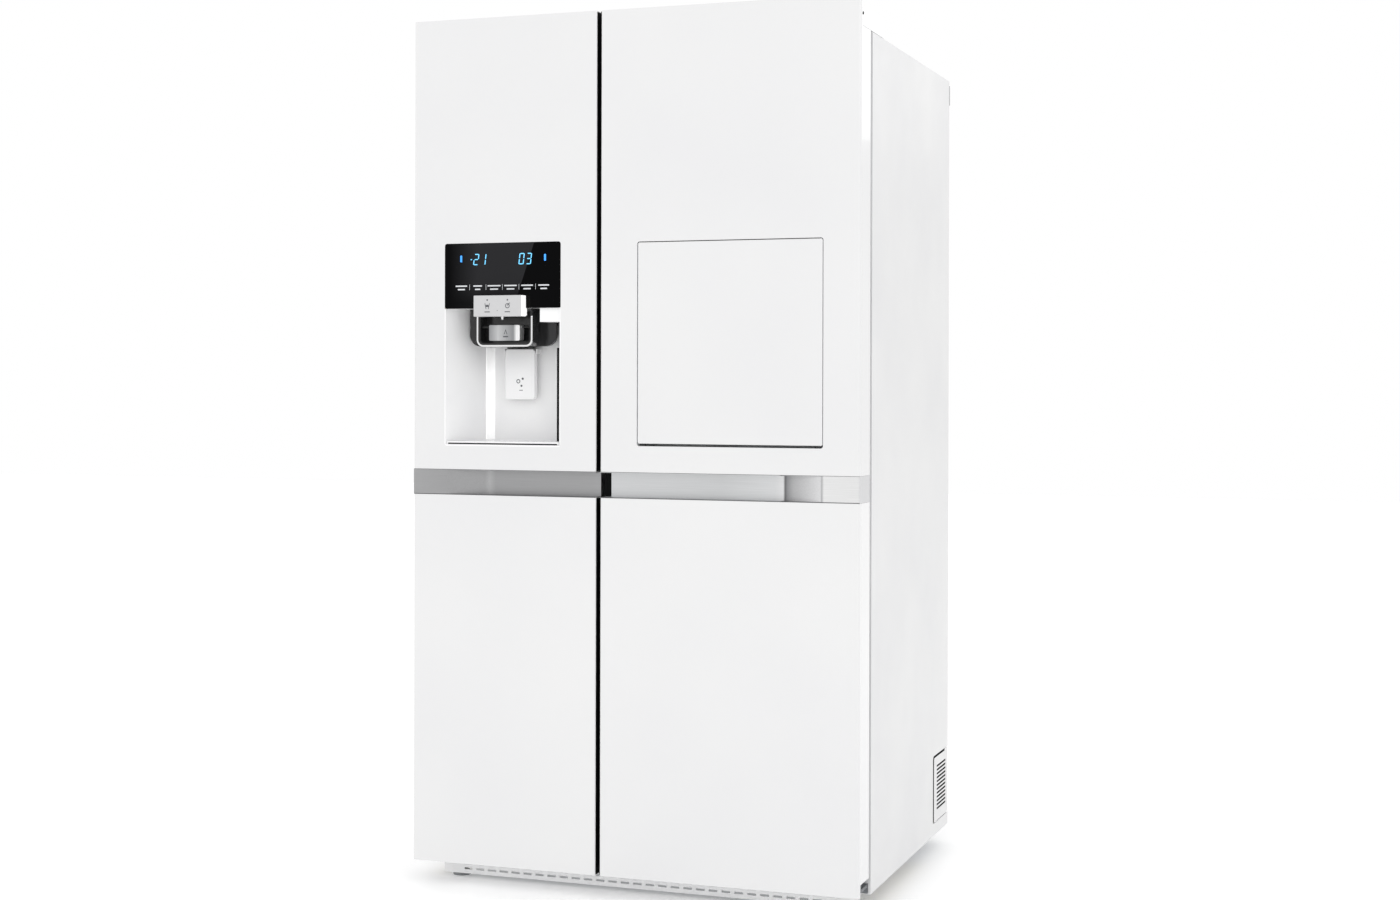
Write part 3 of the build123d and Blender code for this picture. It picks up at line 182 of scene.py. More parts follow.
def makeBrushedAluminium(name, toneAndShadeStops):
    material, tree, shader = newMaterial(name, toneAndShadeStops[0][1], Metallic=1.0)
    squeeze = brushLook["lineMm"] / brushLook["lineLengthMm"]
    lines = noiseOf(tree, place(tree, (squeeze, 1, 1)), brushLook["lineMm"], 3, 0.6)
    axes = addNode(tree, "ShaderNodeSeparateXYZ", {}, {"Vector": place(tree)})
    # along X the colour ramp paints shade and highlight onto the grips; on the plain look it only drifts a
    # little lighter towards +X
    low, high = toneAndShadeStops[0][0] * mm, toneAndShadeStops[-1][0] * mm
    along = remap(tree, axes.outputs[0], 0, 1, low, high)
    ramp = addNode(tree, "ShaderNodeValToRGB", {}, {"Fac": along})
    fillRamp(ramp, [((x * mm - low) / (high - low), colour) for x, colour in toneAndShadeStops])
    shade = addNode(tree, "ShaderNodeHueSaturation", {}, {"Color": ramp.outputs["Color"]})
    streak = brushLook["streak"]
    tree.links.new(remap(tree, lines, 1 - streak, 1 + streak, 0.25, 0.75), shade.inputs["Value"])
    tree.links.new(shade.outputs[0], shader.inputs["Base Color"])
    tree.links.new(remap(tree, lines, *brushLook["gloss"]), shader.inputs["Roughness"])
    bumped(tree, shader, lines, brushLook["bump"], brushLook["depthMm"])
    return material


# silver paint over moulded ABS: fine flake, part mirror and part powder; its sides are kept light by a
# painted highlight that also glows
silverLook = {
    "light": "#CCCCCD", "flake": ("#C8C8C9", "#D1D1D2"), "flankHighlight": "#FFFFFF", "flankGlow": "#D8D8D9",
    "flakeMm": 0.7, "gloss": (0.34, 0.44), "facing": (0.5, 0.95),
}


def makeSilverPaint():
    look = silverLook
    material, tree, shader = newMaterial("silverPaintWithPaintedHighlight", look["light"], Metallic=0.3)
    grain = noiseOf(tree, place(tree), look["flakeMm"], 2)
    tree.links.new(remap(tree, grain, *look["gloss"]), shader.inputs["Roughness"])
    flakes = tint(tree, remap(tree, grain, 0, 1), *look["flake"])
    # painted highlight: faces turned towards +X are tinted white and made to glow, so the block's right flank
    # reads bright
    normal = addNode(tree, "ShaderNodeNewGeometry").outputs["Normal"]
    facing = addNode(tree, "ShaderNodeSeparateXYZ", {}, {0: normal})
    flankHighlight = remap(tree, facing.outputs["X"], 0, 1, *look["facing"])
    white = {"data_type": "RGBA", 7: hexToLinear(look["flankHighlight"])}
    lit = addNode(tree, "ShaderNodeMix", white, {0: flankHighlight, 6: flakes})
    tree.links.new(lit.outputs[2], shader.inputs["Base Color"])
    tree.links.new(flankHighlight, shader.inputs["Emission Strength"])
    shader.inputs["Emission Color"].default_value = hexToLinear(look["flankGlow"])
    bumped(tree, shader, grain, 0.2, 0.02)
    return material


# the paddle's plate is brushed upright, with painted shade towards its left end and a painted highlight at
# its right end; its pivot ends are painted black as painted shade
paddleShadeLook = {
    "halfMm": 32.8, "pivotShade": "#0A0A0B", "left": "#8F9092", "light": "#C2C3C4", "right": "#F0F0F0",
    "stops": ((0.0, "left"), (0.3, "light"), (0.8, "left"), (0.9, "right")),
    "gloss": (0.3, 0.42), "metal": 0.75,
}
dispenserMiddle = -265.0 * mm


def makePaddleMetal():
    material, tree, shader = newMaterial("paddlePlatePaintedShade", paddleShadeLook["light"])
    lines = noiseOf(tree, place(tree, (1, 1, 0.02)), 1.0, 2)
    axes = addNode(tree, "ShaderNodeSeparateXYZ", {}, {"Vector": place(tree)})
    half = paddleShadeLook["halfMm"] * mm
    across = remap(tree, axes.outputs[0], 0, 1, dispenserMiddle - half, dispenserMiddle + half)
    ramp = addNode(tree, "ShaderNodeValToRGB", {}, {"Fac": across})
    fillRamp(ramp, [(spot, paddleShadeLook[colour]) for spot, colour in paddleShadeLook["stops"]])
    streaked = addNode(tree, "ShaderNodeHueSaturation", {}, {"Color": ramp.outputs["Color"]})
    tree.links.new(remap(tree, lines, 0.9, 1.08), streaked.inputs["Value"])
    # painted shade: the pivot ends beyond the plate are turned black
    away = mathOf(tree, "SUBTRACT", axes.outputs[0], dispenserMiddle)
    pivotShade = remap(tree, mathOf(tree, "ABSOLUTE", away), 0, 1, half + 0.2 * mm, half + 0.5 * mm)
    black = {"data_type": "RGBA", 7: hexToLinear(paddleShadeLook["pivotShade"])}
    ends = addNode(tree, "ShaderNodeMix", black, {0: pivotShade, 6: streaked.outputs[0]})
    tree.links.new(ends.outputs[2], shader.inputs["Base Color"])
    tree.links.new(remap(tree, pivotShade, paddleShadeLook["metal"], 0.0, 0, 1), shader.inputs["Metallic"])
    tree.links.new(remap(tree, lines, *paddleShadeLook["gloss"]), shader.inputs["Roughness"])
    bumped(tree, shader, lines, 0.2, 0.02)
    return material


# bright chrome plate on moulded ABS: mirror finish with a barely uneven skin
def makeChrome():
    material, tree, shader = newMaterial("chromePlate", "#F2F2F2", Metallic=1.0)
    skin = noiseOf(tree, place(tree), 9, 1)
    tree.links.new(remap(tree, skin, 0.05, 0.12), shader.inputs["Roughness"])
    bumped(tree, shader, skin, 0.1, 0.03)
    return material


# moulded plastics: each from its own colour pair, texture size and gloss
def makeMoulded(name, light, dark, textureMm, depthMm, gloss, **surface):
    material, tree, shader = newMaterial(name, light, **surface)
    vector = place(tree)
    cloud = remap(tree, noiseOf(tree, vector, 90), 0, 1)
    tree.links.new(tint(tree, cloud, light, dark), shader.inputs["Base Color"])
    grain = noiseOf(tree, vector, textureMm, 2)
    tree.links.new(remap(tree, grain, gloss, gloss + 0.08), shader.inputs["Roughness"])
    bumped(tree, shader, grain, 0.3, depthMm)
    return material


# zinc coated steel: flat grey crystals, the spangle, about 12 mm across
def makeGalvanised():
    material, tree, shader = newMaterial("galvanisedSteel", "#B9BDC1", Metallic=1.0)
    vector = place(tree)
    cells = addNode(tree, "ShaderNodeTexVoronoi", {"Scale": 1 / (12 * mm)}, {"Vector": vector})
    shade = addNode(tree, "ShaderNodeSeparateColor", {}, {"Color": cells.outputs["Color"]}).outputs[0]
    tree.links.new(tint(tree, shade, "#A9AEB3", "#C6CACD"), shader.inputs["Base Color"])
    tree.links.new(remap(tree, shade, 0.36, 0.5, 0, 1), shader.inputs["Roughness"])
    bumped(tree, shader, noiseOf(tree, vector, 2, 2), 0.15, 0.02)
    return material


# zinc plated steel of the hinge brackets, dulled to a mid grey, with a rolled grain
def makeHingeSteel():
    material, tree, shader = newMaterial("zincPlatedSteel", "#6D7073", Metallic=1.0)
    vector = place(tree, (0.2, 1, 1))
    grain = noiseOf(tree, vector, 1.6, 3)
    tree.links.new(tint(tree, remap(tree, grain, 0, 1), "#5A5D60", "#84878A"), shader.inputs["Base Color"])
    tree.links.new(remap(tree, grain, 0.34, 0.5), shader.inputs["Roughness"])
    bumped(tree, shader, grain, 0.2, 0.03)
    return material


# toughened glass printed black on its back: near black, with a painted reflection, a lighter field that ends
# on a slant
panelLook = {
    "black": "#030304", "paintedReflection": "#29292B", "slantMm": 62.0, "slantTopMm": 6.0, "slantBottomMm": -38.0,
    "edgeMm": 0.4, "riseMm": (12, 50), "leftMm": (10, 70), "waveMm": 30,
}


def makePanelGlass():
    material, tree, shader = newMaterial("backPrintedGlassPaintedReflection", panelLook["black"], IOR=1.52)
    shader.inputs["Roughness"].default_value = 0.05
    shader.inputs["Specular IOR Level"].default_value = 0.05  # the glass carries an anti-glare film
    low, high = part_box("control_panel")
    vector = place(tree)
    axes = addNode(tree, "ShaderNodeSeparateXYZ", {}, {"Vector": vector})
    # the slant's X at each height, as a straight line through its two ends
    middle = (low[0] + high[0]) / 2
    lean = (panelLook["slantTopMm"] - panelLook["slantBottomMm"]) * mm / (high[2] - low[2])
    offset = middle + (panelLook["slantMm"] + panelLook["slantBottomMm"]) * mm - lean * low[2]
    edge = mathOf(tree, "ADD", mathOf(tree, "MULTIPLY", axes.outputs[2], lean), offset)
    side = mathOf(tree, "SUBTRACT", edge, axes.outputs[0])
    inside = remap(tree, side, 0, 1, -panelLook["edgeMm"] * mm, panelLook["edgeMm"] * mm)
    # the painted reflection fades out towards the foot and the left end
    upward = remap(tree, axes.outputs[2], 0.25, 1.0, *[low[2] + up * mm for up in panelLook["riseMm"]])
    leftward = remap(tree, axes.outputs[0], 0.0, 1.0, *[low[0] + along * mm for along in panelLook["leftMm"]])
    # field is the mask of the painted reflection
    field = mathOf(tree, "MULTIPLY", mathOf(tree, "MULTIPLY", inside, upward), leftward)
    tree.links.new(tint(tree, field, panelLook["black"], panelLook["paintedReflection"]), shader.inputs["Base Color"])
    bumped(tree, shader, noiseOf(tree, vector, panelLook["waveMm"], 0), 0.05, 0.01)
    return material


# clear float glass of the shelves: faint green body and polished skin
def makeShelfGlass():
    material, tree, shader = newMaterial("toughenedShelfGlass", "#DDEBE7", IOR=1.52)
    shader.inputs["Transmission Weight"].default_value = 0.92
    skin = noiseOf(tree, place(tree), 25, 1)
    tree.links.new(remap(tree, skin, 0.02, 0.06), shader.inputs["Roughness"])
    return material


# crystal polystyrene of drawers and bins: clear with a cool cast and soft flow marks
def makeCrystal():
    material, tree, shader = newMaterial("crystalPolystyrene", "#DCE8EE", IOR=1.59)
    shader.inputs["Transmission Weight"].default_value = 0.75
    vector = place(tree, (1, 1, 0.3))
    flow = noiseOf(tree, vector, 16, 2)
    tree.links.new(remap(tree, flow, 0.08, 0.18), shader.inputs["Roughness"])
    bumped(tree, shader, flow, 0.1, 0.05)
    return material


# light emitting or printed marks, each with a slight unevenness from its grain
def makeGlow(name, colour, strength):
    material, tree, shader = newMaterial(name, colour, Roughness=0.4)
    grain = remap(tree, noiseOf(tree, place(tree), 2.2, 1), strength * 0.8, strength * 1.15)
    shader.inputs["Emission Color"].default_value = hexToLinear(colour)
    tree.links.new(grain, shader.inputs["Emission Strength"])
    return material


looks = {
    "door_enamel": makeDoorEnamel(),
    "cabinet_enamel": makeCabinetEnamel(),
    "brushed_aluminium": makeBrushedAluminium("anodisedCoilAluminium", ((-400, "#B9BABC"), (400, "#C1C2C4"))),
    "silver_trim": makeSilverPaint(),
    "chrome_trim": makeChrome(),
    "galvanised": makeGalvanised(),
    "hinge_steel": makeHingeSteel(),
    "panel_glass": makePanelGlass(),
    "clear_glass": makeShelfGlass(),
    "clear_drawer": makeCrystal(),
    # glossy ABS of the dispenser, caps and covers: tight gloss over a very fine skin
    "white_abs": makeMoulded("whiteGlossAbs", "#F9F9F9", "#F5F5F6", 1.6, 0.02, 0.2),
    # vacuum formed high impact polystyrene: soft sheen, slightly wavy
    "liner_hips": makeMoulded("formedPolystyrene", "#F1F3F4", "#EAEDEF", 14, 0.15, 0.3),
    # small mouldings in grey, black and glass-filled grades, dull to glossy by their tool's finish
    "grey_plastic": makeMoulded("sparkErodedGreyPlastic", "#8A8C8E", "#7E8082", 0.9, 0.05, 0.5),
    "black_plastic": makeMoulded("blackGlossAbs", "#262627", "#1E1E1F", 1.4, 0.02, 0.14),
    "dark_plastic": makeMoulded("glassFilledNylon", "#202123", "#161718", 0.8, 0.06, 0.5),
    # soft vinyl and rubber: matt, with a fine bloom
    "seal_rubber": makeMoulded("softGreyVinyl", "#5E6062", "#545658", 1.1, 0.05, 0.55),
    "black_rubber": makeMoulded("mouldedRubber", "#121212", "#0C0C0C", 0.8, 0.06, 0.65),
    # stoved and dipped coatings on steel and copper, and cut insulation foam
    "compressor_paint": makeMoulded("blackStoveEnamel", "#0E0E0F", "#161617", 3.5, 0.1, 0.3),
    "copper_coil": makeMoulded("blackDippedTube", "#18191A", "#101112", 2.0, 0.05, 0.4),
    "foam": makeMoulded("rigidFoam", "#D9C58A", "#CDB878", 1.5, 0.4, 0.8),
    # opal lens over the lamp: even milky light
    "lamp_lens": makeGlow("opalLampLens", "#FFFDF4", 0.6),
}
# lit segments and bars, and inks for the printed marks
ledBlue = makeGlow("blueLedSegment", "#63B4DC", 1.05)
ledDeep = makeGlow("blueLedIcon", "#2F7FD0", 1.4)
printGrey = makeGlow("greyLegendInk", "#C4C6C9", 0.35)
iconInk = makeMoulded("darkLegendInk", "#5A5C60", "#4E5054", 1.0, 0.01, 0.5)
# painted highlight: a glowing milky strip down the recess's left corner stands in for the light caught in the
# corner's fillet
cornerHighlightGlow = makeGlow("paintedCornerHighlight", "#FFFFFF", 0.42)
cornerHighlightGlow.node_tree.nodes["Principled BSDF"].inputs["Roughness"].default_value = 0.15
# painted shadow: dark grey lines along the upper and lower edges of the grips
gripShadow = makeMoulded("gripPaintedShadowLine", "#4A4B4D", "#3C3D3F", 1.0, 0.02, 0.6)
# matt black that gives back hardly any light, used as painted shadow in the gaps and slots, and for the
# vent's dark inserts and mesh and the hinge plug
deadMatt = {"Specular IOR Level": 0.12}
shadowAndTrimBlack = makeMoulded("blackTrimAndPaintedShadow", "#08080A", "#050506", 1.2, 0.03, 0.7, **deadMatt)

slotOf = {row["node"]: row["material_slot"] for row in frame["record"]["subparts"]}
ownLook = {
    # lit and shaded copies of the grip aluminium, each with painted shade and highlight along its length
    "freezer_handle": makeBrushedAluminium("freezerGripPaintedShade", freezerGripPaintedShading),
    "fridge_handle": makeBrushedAluminium("fridgeGripPaintedLight", fridgeGripPaintedShading),
    "ice_lever": makePaddleMetal(),
}
for name, node in frame["nodes"].items():
    node.data.materials.clear()
    node.data.materials.append(ownLook.get(name, looks[slotOf[name]]))
print("materials on", len(slotOf), "nodes")


def finishMesh(bm, name, body, material, bevelMm=0.0):
    # a finished piece that moves with its body, with softened edges where bevelMm says so
    bmesh.ops.recalc_face_normals(bm, faces=bm.faces)
    mesh = bpy.data.meshes.new(name)
    bm.to_mesh(mesh)
    bm.free()
    piece = bpy.data.objects.new(name, mesh)
    bpy.context.scene.collection.objects.link(piece)
    mesh.materials.append(material)
    if bevelMm:
        bevel = piece.modifiers.new("edge", "BEVEL")
        bevel.width = bevelMm * mm
        bevel.segments = 2
        bevel.limit_method = "ANGLE"
        bevel.harden_normals = True
    for face in mesh.polygons:
        face.use_smooth = bevelMm > 0
    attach(piece, body)
    return piece


def addBox(bm, low, high):
    made = bmesh.ops.create_cube(bm, size=1.0)
    size = Vector(high) - Vector(low)
    centre = (Vector(high) + Vector(low)) / 2
    matrix = Matrix.Translation(centre) @ Matrix.Diagonal(size.to_4d())
    bmesh.ops.transform(bm, matrix=matrix, verts=made["verts"])


def addPlate(bm, points, front, back):
    # a flat outline in X and Z, given a thickness in Y
    lower = [bm.verts.new((x, front, z)) for x, z in points]
    upper = [bm.verts.new((x, back, z)) for x, z in points]
    bm.faces.new(lower)
    bm.faces.new(list(reversed(upper)))
    for i in range(len(points)):
        j = (i + 1) % len(points)
        bm.faces.new((lower[j], lower[i], upper[i], upper[j]))


def roundedOutline(x0, x1, z0, z1, radius, steps=6):
    points = []
    corners = (
        ((x1 - radius, z1 - radius), 0), ((x0 + radius, z1 - radius), 90),
        ((x0 + radius, z0 + radius), 180), ((x1 - radius, z0 + radius), 270),
    )
    for (cx, cz), start in corners:
        for step in range(steps + 1):
            angle = math.radians(start + 90 * step / steps)
            points.append((cx + radius * math.cos(angle), cz + radius * math.sin(angle)))
    return points


def addRing(bm, centre, inner, outer, front, back, steps=28):
    for start in range(steps):
        a = 2 * math.pi * start / steps
        b = 2 * math.pi * (start + 1) / steps
        rim = ((inner, a), (outer, a), (outer, b), (inner, b))
        quad = [(centre[0] + r * math.cos(t), centre[1] + r * math.sin(t)) for r, t in rim]
        addPlate(bm, quad, front, back)


# dispenser face: lit digits, end bars and touch legends on the glass, pictograms on the levers
panelLow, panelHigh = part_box("control_panel")
panelWidth = panelHigh[0] - panelLow[0]
panelHeight = panelHigh[2] - panelLow[2]
# places are shares of the panel's width and height, measured from its lower left corner
displayLook = {
    "digitHeightMm": 22, "digitWidthMm": 11, "barMm": 1.9, "lean": 0.12, "printMm": 0.25, "digitUp": 0.665,
    "numbers": (("-21", 0.205), ("03", 0.64)),
    "barAcross": (0.143, 0.868), "barUp": 0.765, "barHalfMm": (2.0, 6.5),
    "legendFrom": 0.145, "legendPitch": 0.1425, "legendUp": 0.345, "legendRows": ((0.0, 1.0), (-6.6, 0.62)),
    "legendHalfMm": (12.5, 9.5, 14.0, 13.5, 12.5, 11.5), "ruleMm": (-8.0, 3.0, 0.6),
}


def panelPoint(across, up):
    return panelLow[0] + across * panelWidth, panelLow[2] + up * panelHeight


# lit strokes of each figure, lettered clockwise from the top with g in the middle
strokes = {"0": "abcdef", "1": "bc", "2": "abged", "3": "abgcd", "-": "g"}


def addDigit(bm, symbol, x, z, width, height, front):
    bar = displayLook["barMm"] * mm
    half = height / 2
    rects = {
        "a": (x + bar, x + width - bar, z + height - bar, z + height),
        "g": (x + bar, x + width - bar, z + half - bar / 2, z + half + bar / 2),
        "d": (x + bar, x + width - bar, z, z + bar),
        "f": (x, x + bar, z + half + bar / 2, z + height - bar / 2),
        "b": (x + width - bar, x + width, z + half + bar / 2, z + height - bar / 2),
        "e": (x, x + bar, z + bar / 2, z + half - bar / 2),
        "c": (x + width - bar, x + width, z + bar / 2, z + half - bar / 2),
    }
    for key in strokes[symbol]:
        x0, x1, z0, z1 = rects[key]
        outline = roundedOutline(x0, x1, z0, z1, bar * 0.3, 3)
        leaning = [(px + (pz - z) * displayLook["lean"], pz) for px, pz in outline]
        addPlate(bm, leaning, front, panelLow[1])


def buildDisplay():
    front = panelLow[1] - displayLook["printMm"] * mm
    width = displayLook["digitWidthMm"] * mm
    height = displayLook["digitHeightMm"] * mm
    bm = bmesh.new()
    for text, across in displayLook["numbers"]:
        x, z = panelPoint(across, displayLook["digitUp"])
        for symbol in text:
            if symbol == "-":
                addDigit(bm, symbol, x + width * 0.2, z + height * 0.1, width * 0.6, height * 0.8, front)
                x += width * 0.95
            else:
                addDigit(bm, symbol, x, z, width, height, front)
                x += width * 1.4
    finishMesh(bm, "displayDigits", "freezer_door", ledBlue)
    bm = bmesh.new()
    wide, tall = [half * mm for half in displayLook["barHalfMm"]]
    for across in displayLook["barAcross"]:
        x, z = panelPoint(across, displayLook["barUp"])
        addPlate(bm, roundedOutline(x - wide, x + wide, z - tall, z + tall, 1 * mm, 3), front, panelLow[1])
    finishMesh(bm, "displayBars", "freezer_door", ledDeep)
    bm = bmesh.new()
    # touch fields, each marked by plain bars in place of words, with fine lines between them
    pitch = displayLook["legendPitch"]
    below, above, thin = [value * mm for value in displayLook["ruleMm"]]
    for field, halfMm in enumerate(displayLook["legendHalfMm"]):
        x, z = panelPoint(displayLook["legendFrom"] + field * pitch, displayLook["legendUp"])
        for level, share in displayLook["legendRows"]:
            reach, middle = halfMm * mm * share, z + level * mm
            outline = roundedOutline(x - reach, x + reach, middle - 1.2 * mm, middle + 1.4 * mm, 1 * mm, 3)
            addPlate(bm, outline, front, panelLow[1])
        if field < len(displayLook["legendHalfMm"]) - 1:
            x += pitch / 2 * panelWidth
            rule = [(x, z + below), (x + thin, z + below), (x + thin, z + above), (x, z + above)]
            addPlate(bm, rule, front, panelLow[1])
    finishMesh(bm, "touchLegends", "freezer_door", printGrey)


# pictograms in mm from each face's middle: closed outlines, rounded bars (x0, x1, z0, z1, radius) and
# rings (x, z, inner, outer, steps)
iconLook = {
    "proudMm": 0.2, "sunkMm": 0.4, "gapMm": 21.5,
    "lamp": (0, 11.5, 0.0, 1.6, 16), "legend": (-5.8, 5.8, -12.5, -10.8, 0.8), "lock": (0, -9, 0.0, 0.8, 12),
    # a tumbler with a cube in it
    "tumbler": (((-5.5, 5), (-3, -6), (-1.8, -6), (-4.3, 5)), ((4.3, 5), (1.8, -6), (3, -6), (5.5, 5))),
    "cube": (-2.8, 2.8, -2, 2.2, 0.8),
    "dial": (0, 0, 3.4, 4.8, 28), "pointer": ((-1, 1), (4.5, 6.2), (5.5, 5.2), (0, 0)),
    "arrow": ((-4, -3), (0, 7), (4, -3), (2.6, -3), (0, 4), (-2.6, -3)),
    "arrowBar": (-5.5, 5.5, -8.8, -6.2, 1.0),
    "drops": ((-4, 0, 2.6, 4.2, 28), (5.5, 5, 0.0, 2.2, 16), (2.8, -9, 0.0, 2.1, 16)),
    "dropBar": (-2, 6, -18.5, -17.2, 0.6), "padUpMm": 36,
}


def iconSheet(low, x, z):
    # drawing functions for marks printed on a face, with x and z as the place of their origin
    front = low[1] - iconLook["proudMm"] * mm
    back = low[1] + iconLook["sunkMm"] * mm
    bm = bmesh.new()

    def outline(points, across=0.0):
        addPlate(bm, [(x + across + px * mm, z + pz * mm) for px, pz in points], front, back)

    def bar(values, across=0.0):
        x0, x1, z0, z1, radius = [value * mm for value in values]
        shape = roundedOutline(x + across + x0, x + across + x1, z + z0, z + z1, radius, 2)
        addPlate(bm, shape, front, back)

    def ring(values, across=0.0):
        centre = (x + across + values[0] * mm, z + values[1] * mm)
        addRing(bm, centre, values[2] * mm, values[3] * mm, front, back, values[4])

    return bm, outline, bar, ring


def buildIcons():
    low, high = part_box("selector_block")
    middle = (low[0] + high[0]) / 2
    bm, outline, bar, ring = iconSheet(low, middle, (low[2] + high[2]) / 2)
    left, right = -iconLook["gapMm"] * mm, iconLook["gapMm"] * mm
    ring(iconLook["lamp"], left)
    for glassSide in iconLook["tumbler"]:
        outline(glassSide, left)
    bar(iconLook["cube"], left)
    bar(iconLook["legend"], left)
    ring(iconLook["lamp"], right)
    ring(iconLook["dial"], right)
    outline(iconLook["pointer"], right)
    bar(iconLook["legend"], right)
    ring(iconLook["lock"])
    finishMesh(bm, "selectorIcons", "freezer_door", iconInk)

    low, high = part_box("ice_lever")
    bm, outline, bar, ring = iconSheet(low, middle + 3 * mm, (low[2] + high[2]) / 2)
    outline(iconLook["arrow"])
    bar(iconLook["arrowBar"])
    finishMesh(bm, "paddleIcon", "ice_paddle", iconInk)

    low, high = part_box("water_lever")
    bm, outline, bar, ring = iconSheet(low, middle + 1 * mm, low[2] + iconLook["padUpMm"] * mm)
    for drop in iconLook["drops"]:
        ring(drop)
    bar(iconLook["dropBar"])
    finishMesh(bm, "padIcon", "water_pad", iconInk)


buildDisplay()
buildIcons()
print("dispenser face marked")


# measures of the doors that several small pieces share
freezerLow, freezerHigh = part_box("freezer_door_skin")
frontY, rearY = freezerLow[1], freezerHigh[1]
doorLow, doorTop = freezerLow[2], freezerHigh[2]
gripLow, gripTop = [corner[2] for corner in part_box("freezer_handle")]


def boxPiece(name, body, material, boxes, bevelMm=0.0):
    # one piece made of boxes, each given by its low and high corner
    bm = bmesh.new()
    for low, high in boxes:
        addBox(bm, low, high)
    return finishMesh(bm, name, body, material, bevelMm)


# black strips of painted shadow in the slot between the doors, and a black patch of painted shadow at the
# inner end of the right grip
gapShadowStrip = {
    "thickMm": 1.1, "cornerMm": 2.2, "endMm": 2.0, "gripGapMm": 1.0, "rearMm": 1.0,
    "stopMm": 13.0, "stopThickMm": 0.4, "stopSunkMm": 0.2, "stopGapMm": 1.4, "floorMm": 26.0,
}
# each painted shadow line: where it starts and ends in Y and Z, in mm from the door's face and the grip's
# edge
gripShadowLine = {"endMm": 1.0, "below": (-0.3, 1.0, -0.2, 1.1), "above": (-0.2, 1.0, -0.4, 0.2)}


def buildDoorEdges():
    thick = gapShadowStrip["thickMm"] * mm
    start = frontY + gapShadowStrip["cornerMm"] * mm
    end, gap, rear = [gapShadowStrip[key] * mm for key in ("endMm", "gripGapMm", "rearMm")]
    spans = ((doorLow + end, gripLow - gap), (gripTop + gap, doorTop - end))
    freezerEdge, fridgeEdge = freezerHigh[0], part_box("fridge_door_skin")[0][0]
    edges = (("freezer", freezerEdge, freezerEdge + thick), ("fridge", fridgeEdge - thick, fridgeEdge))
    # painted shadow: black strips down each door's facing edge, above and below the grip
    for side, x0, x1 in edges:
        strips = [((x0, start, z0), (x1, rearY - rear, z1)) for z0, z1 in spans]
        boxPiece(side + "GapShadowStrip", side + "_door", shadowAndTrimBlack, strips)
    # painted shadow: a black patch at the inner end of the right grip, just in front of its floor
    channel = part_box("fridge_handle")
    floorY = frontY + gapShadowStrip["floorMm"] * mm
    near, far = floorY - gapShadowStrip["stopThickMm"] * mm, floorY + gapShadowStrip["stopSunkMm"] * mm
    inset = gapShadowStrip["stopGapMm"] * mm
    x0, x1 = channel[0][0], channel[0][0] + gapShadowStrip["stopMm"] * mm
    stop = ((x0, near, gripLow + inset), (x1, far, gripTop - inset))
    boxPiece("gripEndShadow", "fridge_door", shadowAndTrimBlack, [stop])
    # shadow lines where the door sheet is folded over the grip, heavier below than above
    for side in ("freezer", "fridge"):
        low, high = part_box(side + "_handle")
        x0, x1 = low[0] + gripShadowLine["endMm"] * mm, high[0] - gripShadowLine["endMm"] * mm
        lines = []
        for key, z in (("below", low[2]), ("above", high[2])):
            y0, y1, z0, z1 = [value * mm for value in gripShadowLine[key]]
            lines.append(((x0, frontY + y0, z + z0), (x1, frontY + y1, z + z1)))
        boxPiece(side + "GripShadowLines", side + "_door", gripShadow, lines)


# glowing strip of painted highlight in the left corner of the recess, water nozzle, and black strips of
# painted shadow at the right cheek, tray and pad
recessLook = {
    "leftMm": 65.05, "cornerMm": 16.0, "insetMm": 0.3, "highlightThickMm": 0.5, "backMm": 3.0, "turn": 66, "steps": 10,
    "footMm": 1.0, "headMm": 2.0,
    # the right cheek leans in by a share of its depth; the painted shadow strip lies that far back from the
    # door's face
    "mouthMm": 122.0, "cheekLean": 0.4387, "shadowDepthMm": (28.0, 32.0),
    "shadowAcrossMm": (-4.4, -1.4), "shadowHeadMm": 4.0,
    # each painted shadow strip: its low corner from the piece's low corner and its high corner, both in mm
    "trayShadow": ((3.0, -0.6, 0.4), (-3.0, 0.0, 2.6)), "padShadow": ((8.0, 1.0, 1.2), (-6.0, -4.0, 3.2)),
    "nozzleMm": (3.5, -6.0, -2.8), "nozzleRadiusMm": (1.6, 2.6), "nozzleLengthMm": 5.8,
}


def sink(point, offsetMm):
    # a point moved by an offset in mm
    return tuple(value + step * mm for value, step in zip(point, offsetMm))


